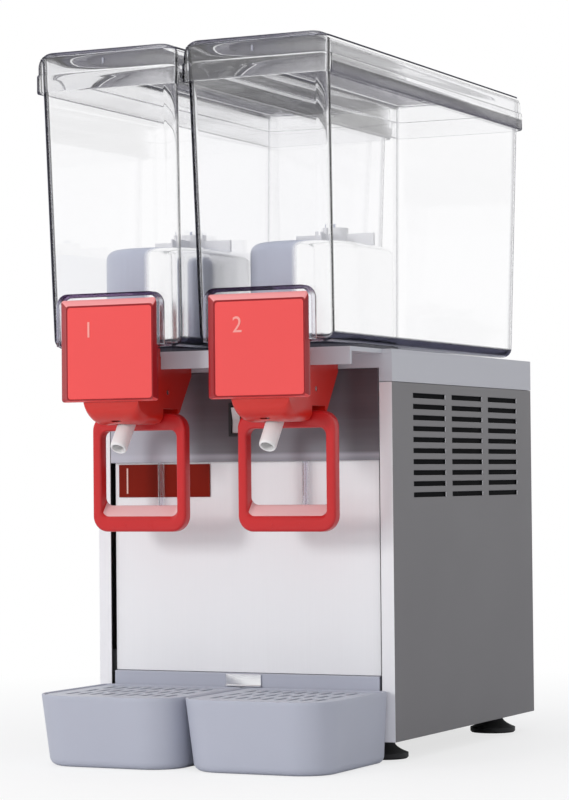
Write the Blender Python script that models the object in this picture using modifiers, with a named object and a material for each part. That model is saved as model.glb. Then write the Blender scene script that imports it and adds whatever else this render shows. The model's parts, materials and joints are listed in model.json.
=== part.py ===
# A counter-top juice dispenser with two cooled bowls, each with its own tap, lever and drip tray.
# Metres, +Z up. Heights are measured from the counter and depths from the cabinet's front plane,
# and the whole is then moved so that its origin is the centre of its footprint.
import math

import bmesh
import bpy
from mathutils import Matrix, Vector

# Overall sizes
cabinet_width = 0.270
cabinet_depth = 0.314
cabinet_floor = 0.0165
deck_top = 0.331
bowl_pitch = 0.133
sides = {"left": -bowl_pitch / 2, "right": bowl_pitch / 2}

# Fits and counts shared by many pieces
seat_gap = 0.0003
run_gap = 0.0004
overrun = 0.004
sheet = 0.0012
corner_steps = 5
fillet_steps = 3
round_steps = 24
fine_round_steps = 16

# Cabinet
post_width = 0.0115
panel_recess = 0.0045
panel_side_gap = 0.0023
panel_bottom = 0.069
panel_tuck = 0.020
pan_wall = 0.0015
pan_height = 0.024
pan_riser_height = 0.0695
pan_gusset = 0.010
vent_columns = 3
vent_rows = 10
vent_length = 0.069
vent_height = 0.004
vent_column_pitch = 0.083
vent_row_pitch = 0.009
vent_first_y = 0.043
vent_top_z = 0.2945
rear_vent_columns = 2
rear_vent_rows = 12
rear_vent_length = 0.050
rear_vent_column_pitch = 0.060
rear_vent_first_x = 0.012
rear_vent_pitch = 0.014
rear_vent_top_z = 0.270

# Fascia over the front panel
fascia_bottom = 0.242
fascia_lip = 0.0038

# Deck that carries the bowls
deck_skirt = 0.026
deck_front_skirt = 0.015
deck_wall = 0.003
deck_plate = 0.0035
tongue_reach = 0.062
tongue_half_width = 0.1265
tongue_lip = 0.003
tongue_lip_drop = 0.014
pipe_slot_half = 0.012
pipe_slot_width = 0.008
pipe_y = 0.080

# Evaporator tower inside each bowl
tower_half_width = 0.045
tower_front = -0.056
tower_back = 0.092
tower_height = 0.086
tower_wall = 0.0012
tower_fillet = 0.008
tower_round_share = 0.96
spindle_radius = 0.003
spindle_height = 0.020
drive_y = 0.042

# Gasket round the tower, under the bowl
gasket_lip_height = 0.0075
gasket_flange = 0.0027
gasket_flange_reach = 0.0046
gasket_lip_thickness = 0.0020

# Bowl
bowl_lift = 0.0033
bowl_wall = 0.0028
bowl_top = 0.5705
bowl_top_half = 0.0614
bowl_bottom_half = 0.0582
bowl_top_front = -0.1060
bowl_bottom_front = -0.0945
bowl_top_back = 0.3165
bowl_bottom_back = 0.3025
bowl_front_radius = 0.011
bowl_back_radius = 0.013
bowl_fillet = 0.008
spout_y = -0.078
spout_radius = 0.0088
spout_bore = 0.0072
spout_length = 0.0080
housing_half_width = 0.0415
housing_front = -0.0997
housing_top = 0.3790
housing_radius = 0.006

# Lid
lid_plate = 0.0025
lid_wall = 0.0016
lid_skirt = 0.0325
lid_rib_height = 0.0150
lid_rib = 0.0013
lid_fillet = 0.005

# Tap: body, cover, piston, lever, pin, spring and nozzle
tap_half_width = 0.025
tap_front = -0.100
tap_bottom = 0.2725
tap_heel_y = -0.061
tap_knee_y = -0.030
tap_knee_z = 0.2820
tap_back_y = -0.0085
tap_back_z = 0.3130
tap_edge = 0.002
tap_bore_floor = 0.2812
tap_channel_half = 0.004
tap_channel_depth = 0.0055
cover_half_width = 0.0435
cover_bottom = 0.2905
cover_top = 0.3725
cover_depth = 0.0064
cover_side_chamfer = 0.0040
cover_top_chamfer = 0.0060
cover_bottom_chamfer = 0.0010
cover_wall = 0.0018
cover_corner = 0.002
piston_height = 0.0360
piston_groove_half = 0.0045
piston_core = 0.0040
pivot_y = -0.0495
pivot_z = 0.2985
pin_radius = 0.0020
pin_half_length = 0.0245
lever_swing = math.radians(20)
lever_half_width = 0.0428
lever_bottom = 0.1857
lever_top = 0.2813
lever_front = -0.0555
lever_back = -0.0435
lever_side_bar = 0.0090
lever_top_bar = 0.0135
lever_bottom_bar = 0.0096
lever_shelf_rise = 0.0130
lever_corner = 0.008
lever_hub_radius = 0.0048
lever_hub_half = 0.0110
lever_web_half = 0.0105
lever_finger_half = 0.0030
lever_finger_half_height = 0.0025
lever_finger_tip_y = -0.0735
lever_slot_half = 0.0195
spring_turns = 5
spring_wire = 0.0005
spring_radius = 0.0030
spring_points_a_turn = 8
nozzle_top_y = -0.0755
nozzle_insert = 0.0040
nozzle_tip_y = -0.0875
nozzle_drop = 0.0237
nozzle_radius = 0.0070
nozzle_bore = 0.0052

# Drive: gear motor, magnet and impeller
gearbox_radius = 0.028
gearbox_height = 0.030
motor_radius = 0.022
motor_height = 0.035
shaft_radius = 0.003
shaft_height = 0.069
magnet_radius = 0.030
magnet_thickness = 0.009
magnet_roof_gap = 0.0045
magnet_hub_radius = 0.008
magnet_hub_height = 0.014
impeller_hub_radius = 0.010
impeller_hub_height = 0.016
impeller_reach = 0.034
impeller_blade_lift = 0.0010
impeller_blade_height = 0.010
impeller_blade = 0.003

# Drip trays and their fittings on the cabinet
tray_outer_x = 0.1293
tray_inner_x = 0.0010
tray_front = -0.127
tray_height = 0.0575
tray_wall = 0.0022
tray_front_radius = 0.030
tray_back_radius = 0.005
tray_front_slope = 0.009
tray_side_slope = 0.003
tray_floor = 0.0030
tray_bottom_fillet = 0.005
tray_ledge = 0.0018
tray_ledge_depth = 0.0035
grid_thickness = 0.0022
grid_columns = 9
grid_rows = 3
grid_slot_width = 0.0050
grid_slot_length = 0.024
grid_column_pitch = 0.0112
grid_row_pitch = 0.030
grid_back_margin = 0.014
rail_bottom = 0.050
rail_front = 0.0007
clip_half_width = 0.016
clip_thickness = 0.0012
clip_bottom = 0.0580
clip_top = 0.0680
clip_reach = 0.0024

# Small fittings on the front
plate_left = -0.1171
plate_right = -0.0314
plate_bottom = 0.2132
plate_top = 0.2405
plate_thickness = 0.0010
switch_x = -0.005
switch_rise = 0.0345
switch_half_width = 0.0064
switch_half_height = 0.0138
switch_flange = 0.0012
switch_rim = 0.0012
switch_depth = 0.014
rocker_pivot_y = 0.0030
rocker_bulge = 0.0040
rocker_hollow = 0.0022
rocker_back = 0.0040
rocker_tilt = math.radians(7)
drain_offset = 0.009
drain_y = 0.0004
drain_radius = 0.0025
drain_bore = 0.0015
drain_length = 0.0375

# Feet
foot_side_margin = 0.027
foot_front_y = 0.038
foot_back_margin = 0.034
foot_radius = 0.0200
foot_pad = 0.004
foot_neck_radius = 0.0090

# Cooling system and controls inside the cabinet
compressor_x = -0.052
compressor_y = 0.205
compressor_radius = 0.048
compressor_flange = 0.053
compressor_flange_height = 0.004
compressor_height = 0.112
compressor_shoulder = 0.020
condenser_side_gap = 0.009
condenser_depth = 0.028
condenser_rear_gap = 0.039
condenser_length = 0.190
condenser_top = 0.262
condenser_spine = 0.006
condenser_fins = 16
fan_z = 0.190
fan_stand_off = 0.024
fan_radius = 0.052
fan_hub_radius = 0.013
fan_hub_length = 0.018
fan_blades = 5
fan_blade_width = 0.026
fan_blade_thickness = 0.0018
fan_pitch = math.radians(32)
fan_motor_radius = 0.024
fan_motor_length = 0.036
fan_shaft_radius = 0.002
fan_shaft_length = 0.010
fan_post_half = 0.010
pipe_radius = 0.0025
pipe_rise = 0.050
pipe_run_z = 0.300
pipe_spacing = 0.006
control_left = -0.105
control_right = -0.025
control_depth = 0.046
control_bottom = 0.165
control_top = 0.250
knob_x = -0.060
knob_z = 0.215
knob_radius = 0.012
knob_length = 0.014
knob_grip_share = 0.86
knob_shaft_radius = 0.003
knob_shaft_length = 0.020
gland_x = -0.095
gland_z = 0.075
gland_flange_radius = 0.010
gland_flange = 0.003
gland_neck_radius = 0.0065
gland_nose_radius = 0.0055
gland_length = 0.016
gland_bore = 0.0035

# Places worked out from the sizes above
half_width = cabinet_width / 2
deck_bottom = deck_top - deck_skirt
fascia_top = deck_top - deck_front_skirt - seat_gap
wall_top = deck_bottom - seat_gap
deck_underside = deck_top - deck_plate
panel_half = half_width - post_width - panel_side_gap
panel_back = panel_recess + sheet
inner_x = half_width - sheet - seat_gap
rear_face = cabinet_depth
rear_inner = cabinet_depth - sheet
bowl_bottom = deck_top + bowl_lift
tower_base = deck_top + seat_gap
tower_top = tower_base + tower_height
tap_bore = spout_radius + run_gap
piston_radius = tap_bore - run_gap
piston_top = bowl_bottom - spout_length - run_gap
lever_finger_z = pivot_z
gearbox_top = deck_underside - seat_gap
lid_seat = bowl_top + seat_gap
tray_back = -seat_gap
tray_half = (tray_outer_x - tray_inner_x) / 2
tray_offset = (tray_outer_x + tray_inner_x) / 2
pan_front = panel_back + seat_gap
pan_inside = cabinet_floor + pan_wall + seat_gap
foot_x = half_width - foot_side_margin
foot_back_y = cabinet_depth - foot_back_margin
switch_z = fascia_bottom + switch_rise
condenser_back_x = half_width - condenser_side_gap
condenser_face_x = condenser_back_x - condenser_depth
condenser_back_y = cabinet_depth - condenser_rear_gap
condenser_front_y = condenser_back_y - condenser_length
fan_x = condenser_face_x - fan_stand_off
fan_y = (condenser_front_y + condenser_back_y) / 2
nozzle_top_z = tap_bottom + nozzle_insert
nozzle_tip_z = nozzle_top_z - nozzle_drop
footprint_centre = (tray_front + rear_face + seat_gap + gland_length) / 2

# Colour, roughness, metallic value and transmission of each finish
finishes = {
    "painted_steel": ((0.19, 0.18, 0.19), 0.45, 0.0, 0.0),
    "satin_steel": ((0.62, 0.62, 0.63), 0.32, 1.0, 0.0),
    "dark_steel": ((0.20, 0.18, 0.18), 0.40, 0.9, 0.0),
    "zinc_steel": ((0.45, 0.46, 0.47), 0.50, 1.0, 0.0),
    "deck_plastic": ((0.45, 0.45, 0.48), 0.50, 0.0, 0.0),
    "clear_plastic": ((0.95, 0.96, 0.97), 0.05, 0.0, 1.0),
    "red_plastic": ((0.75, 0.03, 0.02), 0.35, 0.0, 0.0),
    "white_plastic": ((0.85, 0.85, 0.84), 0.40, 0.0, 0.0),
    "tray_plastic": ((0.36, 0.39, 0.45), 0.50, 0.0, 0.0),
    "black_plastic": ((0.02, 0.02, 0.02), 0.50, 0.0, 0.0),
    "rubber": ((0.03, 0.03, 0.03), 0.80, 0.0, 0.0),
    "seal_rubber": ((0.55, 0.56, 0.58), 0.60, 0.0, 0.0),
    "plate_red": ((0.16, 0.02, 0.01), 0.45, 0.0, 0.0),
    "copper": ((0.72, 0.33, 0.20), 0.35, 1.0, 0.0),
    "aluminium": ((0.72, 0.73, 0.75), 0.40, 1.0, 0.0),
    "black_enamel": ((0.02, 0.02, 0.022), 0.35, 0.0, 0.0),
    "ferrite": ((0.08, 0.08, 0.09), 0.60, 0.2, 0.0),
    "grid_plastic": ((0.62, 0.64, 0.68), 0.45, 0.0, 0.0),
}


def new_scene():
    for thing in list(bpy.data.objects):
        bpy.data.objects.remove(thing, do_unlink=True)
    parts = bpy.data.collections.new("juice_dispenser")
    helpers = bpy.data.collections.new("cutters")
    bpy.context.scene.collection.children.link(parts)
    bpy.context.scene.collection.children.link(helpers)
    origin = bpy.data.objects.new("cabinet_front", None)
    origin.location = (0, -footprint_centre, 0)
    parts.objects.link(origin)
    return parts, helpers, origin


def new_material(name):
    colour, roughness, metallic, transmission = finishes[name]
    material = bpy.data.materials.new(name)
    material.use_nodes = True
    shader = material.node_tree.nodes["Principled BSDF"]
    shader.inputs["Base Color"].default_value = (*colour, 1)
    shader.inputs["Roughness"].default_value = roughness
    shader.inputs["Metallic"].default_value = metallic
    shader.inputs["Transmission Weight"].default_value = transmission
    return material


parts, helpers, origin = new_scene()
materials = {name: new_material(name) for name in finishes}


# Meshes, all in the cabinet's coordinates
def mesh_of(shape):
    bmesh.ops.recalc_face_normals(shape, faces=shape.faces)
    mesh = bpy.data.meshes.new("mesh")
    shape.to_mesh(mesh)
    shape.free()
    return mesh


def box_meshes(corners):
    """One mesh holding a box for each pair of low and high corners."""
    shape = bmesh.new()
    for low, high in corners:
        low, high = Vector(low), Vector(high)
        place = Matrix.Translation((low + high) / 2) @ Matrix.Diagonal((*(high - low), 1))
        bmesh.ops.create_cube(shape, size=1, matrix=place)
    return mesh_of(shape)


def box_mesh(low, high):
    return box_meshes([(low, high)])


def rod_mesh(start, end, radius, steps=round_steps):
    """A cylinder from one point to another."""
    start, end = Vector(start), Vector(end)
    turn = (end - start).to_track_quat("Z", "Y").to_matrix().to_4x4()
    shape = bmesh.new()
    bmesh.ops.create_cone(
        shape,
        cap_ends=True,
        segments=steps,
        radius1=radius,
        radius2=radius,
        depth=(end - start).length,
        matrix=Matrix.Translation((start + end) / 2) @ turn,
    )
    return mesh_of(shape)


def slab_mesh(outline, low, high, normal="z"):
    """A flat outline given in the plane square to `normal`, filled and raised from low to high."""
    curve = bpy.data.curves.new("outline", "CURVE")
    curve.dimensions = "2D"
    curve.fill_mode = "BOTH"
    curve.extrude = (high - low) / 2
    spline = curve.splines.new("POLY")
    spline.points.add(len(outline) - 1)
    for point, (across, along) in zip(spline.points, outline):
        point.co = (across, along, 0, 1)
    spline.use_cyclic_u = True
    guide = bpy.data.objects.new("outline", curve)
    helpers.objects.link(guide)
    bpy.context.view_layer.update()
    evaluated = guide.evaluated_get(bpy.context.evaluated_depsgraph_get())
    flat = bpy.data.meshes.new_from_object(evaluated)
    bpy.data.objects.remove(guide, do_unlink=True)
    middle = (low + high) / 2
    turns = {
        "z": Matrix(((1, 0, 0, 0), (0, 1, 0, 0), (0, 0, 1, middle), (0, 0, 0, 1))),
        "x": Matrix(((0, 0, 1, middle), (1, 0, 0, 0), (0, 1, 0, 0), (0, 0, 0, 1))),
        "y": Matrix(((1, 0, 0, 0), (0, 0, -1, middle), (0, 1, 0, 0), (0, 0, 0, 1))),
    }
    shape = bmesh.new()
    shape.from_mesh(flat)
    bmesh.ops.remove_doubles(shape, verts=shape.verts, dist=seat_gap / 100)
    shape.transform(turns[normal])
    return mesh_of(shape)


def loft_mesh(rings, closed=False):
    """Skin through rings of points; the last ring joins the first, or both are capped."""
    shape = bmesh.new()
    rows = [[shape.verts.new(point) for point in ring] for ring in rings]
    pairs = list(zip(rows, rows[1:]))
    if closed:
        pairs.append((rows[-1], rows[0]))
    else:
        shape.faces.new(rows[0])
        shape.faces.new(rows[-1])
    for row, following in pairs:
        count = len(row)
        for i in range(count):
            j = (i + 1) % count
            shape.faces.new((row[i], row[j], following[j], following[i]))
    return mesh_of(shape)


def rounded(low_x, high_x, low_y, high_y, low_radius, high_radius, inset=0):
    """Points of a rectangle with round corners, one radius on its low_y side, one on the other."""
    low_x, high_x, low_y, high_y = low_x + inset, high_x - inset, low_y + inset, high_y - inset
    least = seat_gap
    corners = (
        (high_x, low_y, -1, 1, max(low_radius - inset, least), -90),
        (high_x, high_y, 1, 1, max(high_radius - inset, least), 0),
        (low_x, high_y, 1, -1, max(high_radius - inset, least), 90),
        (low_x, low_y, -1, -1, max(low_radius - inset, least), 180),
    )
    points = []
    for x, y, up, out, radius, start in corners:
        centre_x, centre_y = x - out * radius, y - up * radius
        for step in range(corner_steps + 1):
            angle = math.radians(start + 90 * step / corner_steps)
            points.append((centre_x + radius * math.cos(angle), centre_y + radius * math.sin(angle)))
    return points


def level(outline, z):
    return [(x, y, z) for x, y in outline]


def upright(outline, y):
    return [(x, y, z) for x, z in outline]


# Objects
def piece(name, mesh, finish, at=(0, 0, 0)):
    """A named part with its origin at `at`, which is on the axis of a piece that moves."""
    mesh.name = name
    mesh.transform(Matrix.Translation(-Vector(at)))
    mesh.materials.append(materials[finish])
    mesh.shade_smooth()
    mesh.set_sharp_from_angle(angle=math.radians(30))
    thing = bpy.data.objects.new(name, mesh)
    thing.location = at
    thing.parent = origin
    parts.objects.link(thing)
    return thing


def turned(name, profile, finish, at, closed=False, turn=(0, 0, 0), steps=round_steps):
    """A profile of (radius, height) points, listed down its outer side, swept about its own Z."""
    mesh = bpy.data.meshes.new(name)
    count = len(profile)
    edges = [(i, i + 1) for i in range(count - 1)] + ([(count - 1, 0)] if closed else [])
    mesh.from_pydata([(radius, 0, height) for radius, height in profile], edges, [])
    mesh.materials.append(materials[finish])
    thing = bpy.data.objects.new(name, mesh)
    thing.location = at
    thing.rotation_euler = turn
    thing.parent = origin
    parts.objects.link(thing)
    sweep = thing.modifiers.new("sweep", "SCREW")
    sweep.steps = steps
    sweep.render_steps = steps
    sweep.use_merge_vertices = True
    sweep.merge_threshold = seat_gap / 100
    sweep.use_smooth_shade = True
    return thing


def helper(name, mesh):
    thing = bpy.data.objects.new(name, mesh)
    thing.parent = origin
    thing.hide_render = True
    thing.display_type = "WIRE"
    helpers.objects.link(thing)
    return thing


def combine(thing, mesh, operation, label):
    other = helper(f"{thing.name}_{label}", mesh)
    step = thing.modifiers.new(label, "BOOLEAN")
    step.operation = operation
    step.object = other
    return other


def cut(thing, mesh, label):
    return combine(thing, mesh, "DIFFERENCE", label)


def add(thing, mesh, label):
    return combine(thing, mesh, "UNION", label)


def soften(thing, width, segments=2):
    edge = thing.modifiers.new("soft_edges", "BEVEL")
    edge.width = width
    edge.segments = segments
    edge.limit_method = "ANGLE"


def tube(name, points, radius, finish, cyclic=False, fineness=1):
    """A round tube along a list of points."""
    curve = bpy.data.curves.new(name, "CURVE")
    curve.dimensions = "3D"
    curve.bevel_depth = radius
    curve.bevel_resolution = fineness
    curve.use_fill_caps = True
    spline = curve.splines.new("POLY")
    spline.points.add(len(points) - 1)
    for point, place in zip(spline.points, points):
        point.co = (*place, 1)
    spline.use_cyclic_u = cyclic
    curve.materials.append(materials[finish])
    thing = bpy.data.objects.new(name, curve)
    thing.parent = origin
    parts.objects.link(thing)
    return thing


# Cabinet
def build_base_pan():
    low_z, high_z = cabinet_floor, cabinet_floor + pan_riser_height
    back = rear_inner - seat_gap
    pan = piece("base_pan", box_mesh((-inner_x, pan_front, low_z), (inner_x, back, high_z)), "zinc_steel")
    inside = (-inner_x + pan_wall, pan_front + pan_wall, low_z + pan_wall)
    cut(pan, box_mesh(inside, (inner_x - pan_wall, back - pan_wall, high_z + overrun)), "inside")
    above = (-inner_x - overrun, pan_front + pan_gusset, low_z + pan_height)
    cut(pan, box_mesh(above, (inner_x + overrun, back + overrun, high_z + overrun)), "low_walls")


def vent_cutters(across, first, columns, column_pitch, length, top, rows, row_pitch):
    """Low and high corners of slots, where `across` turns two spans into a corner pair."""
    for column in range(columns):
        start = first + column * column_pitch
        for row in range(rows):
            middle = top - row * row_pitch
            yield across(start, start + length, middle - vent_height / 2, middle + vent_height / 2)


def build_side_panels():
    for name, side in (("left", -1), ("right", 1)):
        outer, inner = side * half_width, side * (half_width - sheet)
        post = side * (half_width - post_width)
        outline = [(outer, 0), (outer, rear_face), (inner, rear_face), (inner, sheet), (post, sheet), (post, 0)]
        panel = piece(f"side_panel_{name}", slab_mesh(outline, cabinet_floor, wall_top), "painted_steel")
        low_x, high_x = sorted((outer + side * overrun, inner - side * overrun))

        def across(low, high, low_z, high_z):
            return (low_x, low, low_z), (high_x, high, high_z)

        slots = vent_cutters(
            across, vent_first_y, vent_columns, vent_column_pitch, vent_length, vent_top_z, vent_rows, vent_row_pitch
        )
        cut(panel, box_meshes(slots), "vents")


def build_rear_panel():
    panel = piece(
        "rear_panel", box_mesh((-inner_x, rear_inner, cabinet_floor), (inner_x, rear_face, wall_top)), "painted_steel"
    )

    def across(low, high, low_z, high_z):
        return (low, rear_inner - overrun, low_z), (high, rear_face + overrun, high_z)

    slots = vent_cutters(
        across,
        rear_vent_first_x,
        rear_vent_columns,
        rear_vent_column_pitch,
        rear_vent_length,
        rear_vent_top_z,
        rear_vent_rows,
        rear_vent_pitch,
    )
    cut(panel, box_meshes(slots), "vents")
    for label, x, z, radius in (
        ("gland_hole", gland_x, gland_z, gland_neck_radius + seat_gap),
        ("knob_hole", knob_x, knob_z, knob_shaft_radius + run_gap),
    ):
        cut(panel, rod_mesh((x, rear_inner - overrun, z), (x, rear_face + overrun, z), radius), label)


def build_front_panel():
    top = fascia_bottom + panel_tuck
    low, high = (-panel_half, panel_recess, panel_bottom), (panel_half, panel_back, top)
    piece("front_panel", box_mesh(low, high), "satin_steel")
    face = panel_recess - seat_gap
    piece(
        "label_plate",
        box_mesh((plate_left, face - plate_thickness, plate_bottom), (plate_right, face, plate_top)),
        "plate_red",
    )


def build_fascia():
    half = half_width - post_width - seat_gap
    outline = [
        (0, fascia_bottom),
        (0, fascia_top),
        (sheet, fascia_top),
        (sheet, fascia_bottom + sheet),
        (fascia_lip, fascia_bottom + sheet),
        (fascia_lip, fascia_bottom),
    ]
    fascia = piece("fascia", slab_mesh(outline, -half, half, "x"), "dark_steel")
    hole_x = switch_half_width - switch_rim + seat_gap
    hole_z = switch_half_height - switch_rim + seat_gap
    low = (switch_x - hole_x, -overrun, switch_z - hole_z)
    high = (switch_x + hole_x, sheet + overrun, switch_z + hole_z)
    cut(fascia, box_mesh(low, high), "switch_hole")


def build_switch():
    face = -seat_gap
    low = (switch_x - switch_half_width, face - switch_flange, switch_z - switch_half_height)
    high = (switch_x + switch_half_width, face, switch_z + switch_half_height)
    housing = piece("switch_housing", box_mesh(low, high), "black_plastic")
    body_x, body_z = switch_half_width - switch_rim, switch_half_height - switch_rim
    body_low = (switch_x - body_x, face - switch_flange / 2, switch_z - body_z)
    add(housing, box_mesh(body_low, (switch_x + body_x, switch_depth, switch_z + body_z)), "body")
    pocket_x, pocket_z = body_x - switch_rim, body_z - switch_rim
    pocket_low = (switch_x - pocket_x, -overrun, switch_z - pocket_z)
    cut(housing, box_mesh(pocket_low, (switch_x + pocket_x, switch_depth - switch_rim, switch_z + pocket_z)), "pocket")
    half = pocket_x - seat_gap
    reach = pocket_z - 2 * seat_gap
    outline = [
        (rocker_pivot_y - rocker_bulge, -reach),
        (rocker_pivot_y - rocker_hollow, 0),
        (rocker_pivot_y - rocker_bulge, reach),
        (rocker_pivot_y + rocker_back, reach - rocker_back),
        (rocker_pivot_y + rocker_back, -reach + rocker_back),
    ]
    outline = [(y, z + switch_z) for y, z in outline]
    mesh = slab_mesh(outline, switch_x - half, switch_x + half, "x")
    rocker = piece("rocker_switch", mesh, "white_plastic", (switch_x, rocker_pivot_y, switch_z))
    rocker.rotation_euler = (rocker_tilt, 0, 0)


def build_deck():
    deck = piece(
        "top_deck", box_mesh((-half_width, -tongue_reach, deck_bottom), (half_width, rear_face, deck_top)), "deck_plastic"
    )
    corners = []
    for side in (-1, 1):
        low_x, high_x = sorted((side * tongue_half_width, side * (half_width + overrun)))
        corners.append(((low_x, -tongue_reach - overrun, deck_bottom - overrun), (high_x, 0, deck_top + overrun)))
    cut(deck, box_meshes(corners), "beside_tongue")
    low = deck_bottom - overrun
    wide = half_width + overrun
    inside = (-half_width + deck_wall, deck_wall, low)
    cut(deck, box_mesh(inside, (half_width - deck_wall, rear_face - deck_wall, deck_underside)), "inside")
    cut(deck, box_mesh((-wide, tongue_lip - tongue_reach, low), (wide, seat_gap, deck_underside)), "under_tongue")
    lip_bottom = deck_top - tongue_lip_drop
    cut(deck, box_mesh((-wide, -tongue_reach - overrun, low), (wide, -overrun, lip_bottom)), "lip_edge")
    front_half = half_width - post_width
    front_bottom = deck_top - deck_front_skirt
    cut(deck, box_mesh((-front_half, -overrun, low), (front_half, deck_wall + overrun, front_bottom)), "front_edge")
    for name, centre in sides.items():
        window = tap_half_width + seat_gap
        low_corner = (centre - window, -tongue_reach - overrun, low)
        cut(deck, box_mesh(low_corner, (centre + window, -tongue_reach / 2, deck_underside + seat_gap)), f"tap_window_{name}")
        shaft = [(centre, drive_y, z) for z in (deck_underside - overrun, deck_top + overrun)]
        cut(deck, rod_mesh(*shaft, shaft_radius + run_gap, fine_round_steps), f"shaft_hole_{name}")
        slot_low = (centre - pipe_slot_half, pipe_y - pipe_slot_width / 2, deck_underside - overrun)
        slot_high = (centre + pipe_slot_half, pipe_y + pipe_slot_width / 2, deck_top + overrun)
        cut(deck, box_mesh(slot_low, slot_high), f"pipe_slot_{name}")


def build_feet():
    top = cabinet_floor - seat_gap
    profile = [(0, top), (foot_neck_radius, top), (foot_neck_radius, top - foot_pad / 2)]
    profile += [(foot_radius, foot_pad), (foot_radius, 0), (0, 0)]
    for depth_name, y in (("front", foot_front_y), ("back", foot_back_y)):
        for side_name, side in (("left", -1), ("right", 1)):
            turned(f"foot_{depth_name}_{side_name}", profile, "rubber", (side * foot_x, y, 0))


# Evaporator, gasket and drive of one side
def tower_outline(centre, inset=0):
    radius = tower_half_width * tower_round_share
    low_x, high_x = centre - tower_half_width, centre + tower_half_width
    return rounded(low_x, high_x, tower_front, tower_back, radius, radius, inset)


def build_evaporator(name, centre):
    rings = [
        level(tower_outline(centre, tower_fillet), tower_top - tower_wall),
        level(tower_outline(centre, tower_wall), tower_top - tower_fillet),
        level(tower_outline(centre, tower_wall), tower_base),
        level(tower_outline(centre), tower_base),
    ]
    for step in range(fillet_steps + 1):
        angle = math.radians(90 * step / fillet_steps)
        inset = tower_fillet * (1 - math.cos(angle))
        rings.append(level(tower_outline(centre, inset), tower_top - tower_fillet * (1 - math.sin(angle))))
    tower = piece(f"evaporator_{name}", loft_mesh(rings), "satin_steel")
    foot = (centre, drive_y, tower_top - tower_wall / 2)
    tip = (centre, drive_y, tower_top + spindle_height)
    add(tower, rod_mesh(foot, tip, spindle_radius, fine_round_steps), "spindle")


def build_gasket(name, centre):
    inner = tower_outline(centre, -seat_gap)
    lip = tower_outline(centre, -gasket_lip_thickness)
    flange = tower_outline(centre, -gasket_flange_reach)
    rings = [
        level(inner, tower_base),
        level(flange, tower_base),
        level(flange, tower_base + gasket_flange),
        level(lip, tower_base + gasket_flange),
        level(lip, tower_base + gasket_lip_height),
        level(inner, tower_base + gasket_lip_height),
    ]
    piece(f"bowl_gasket_{name}", loft_mesh(rings, closed=True), "seal_rubber")


def build_drive(name, centre):
    shaft_top = gearbox_top + shaft_height
    low = gearbox_top - gearbox_height
    profile = [
        (0, shaft_top),
        (shaft_radius, shaft_top),
        (shaft_radius, gearbox_top),
        (gearbox_radius, gearbox_top),
        (gearbox_radius, low),
        (motor_radius, low),
        (motor_radius, low - motor_height),
        (0, low - motor_height),
    ]
    at = (centre, drive_y, 0)
    turned(f"gear_motor_{name}", profile, "aluminium", at)
    top = tower_top - tower_wall - magnet_roof_gap
    bore = shaft_radius + run_gap
    hub_bottom = top - magnet_thickness - magnet_hub_height
    profile = [
        (0, top),
        (magnet_radius, top),
        (magnet_radius, top - magnet_thickness),
        (magnet_hub_radius, top - magnet_thickness),
        (magnet_hub_radius, hub_bottom),
        (bore, hub_bottom),
        (bore, shaft_top + run_gap),
        (0, shaft_top + run_gap),
    ]
    turned(f"drive_magnet_{name}", profile, "ferrite", at)


def build_impeller(name, centre):
    low = tower_top + run_gap
    half = impeller_blade / 2
    quarter = [(impeller_reach, -half), (impeller_reach, half), (half, half)]
    outline = []
    for turn in range(4):
        angle = math.pi / 2 * turn
        cosine, sine = math.cos(angle), math.sin(angle)
        outline += [(centre + x * cosine - y * sine, drive_y + x * sine + y * cosine) for x, y in quarter]
    blade_low = low + impeller_blade_lift
    mesh = slab_mesh(outline, blade_low, blade_low + impeller_blade_height)
    wheel = piece(f"impeller_{name}", mesh, "white_plastic", (centre, drive_y, 0))
    base, top = (centre, drive_y, low), (centre, drive_y, low + impeller_hub_height)
    add(wheel, rod_mesh(base, top, impeller_hub_radius), "hub")
    below = (centre, drive_y, low - overrun)
    above = (centre, drive_y, low + impeller_hub_height + overrun)
    cut(wheel, rod_mesh(below, above, spindle_radius + run_gap, fine_round_steps), "bore")


# Bowl and lid of one side
def bowl_outline(centre, z, inset=0):
    """The bowl's outer outline at a height: it widens steadily from its bottom to its top."""
    share = (z - bowl_bottom) / (bowl_top - bowl_bottom)
    half = bowl_bottom_half + share * (bowl_top_half - bowl_bottom_half)
    front = bowl_bottom_front + share * (bowl_top_front - bowl_bottom_front)
    back = bowl_bottom_back + share * (bowl_top_back - bowl_bottom_back)
    return rounded(centre - half, centre + half, front, back, bowl_front_radius, bowl_back_radius, inset)


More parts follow.
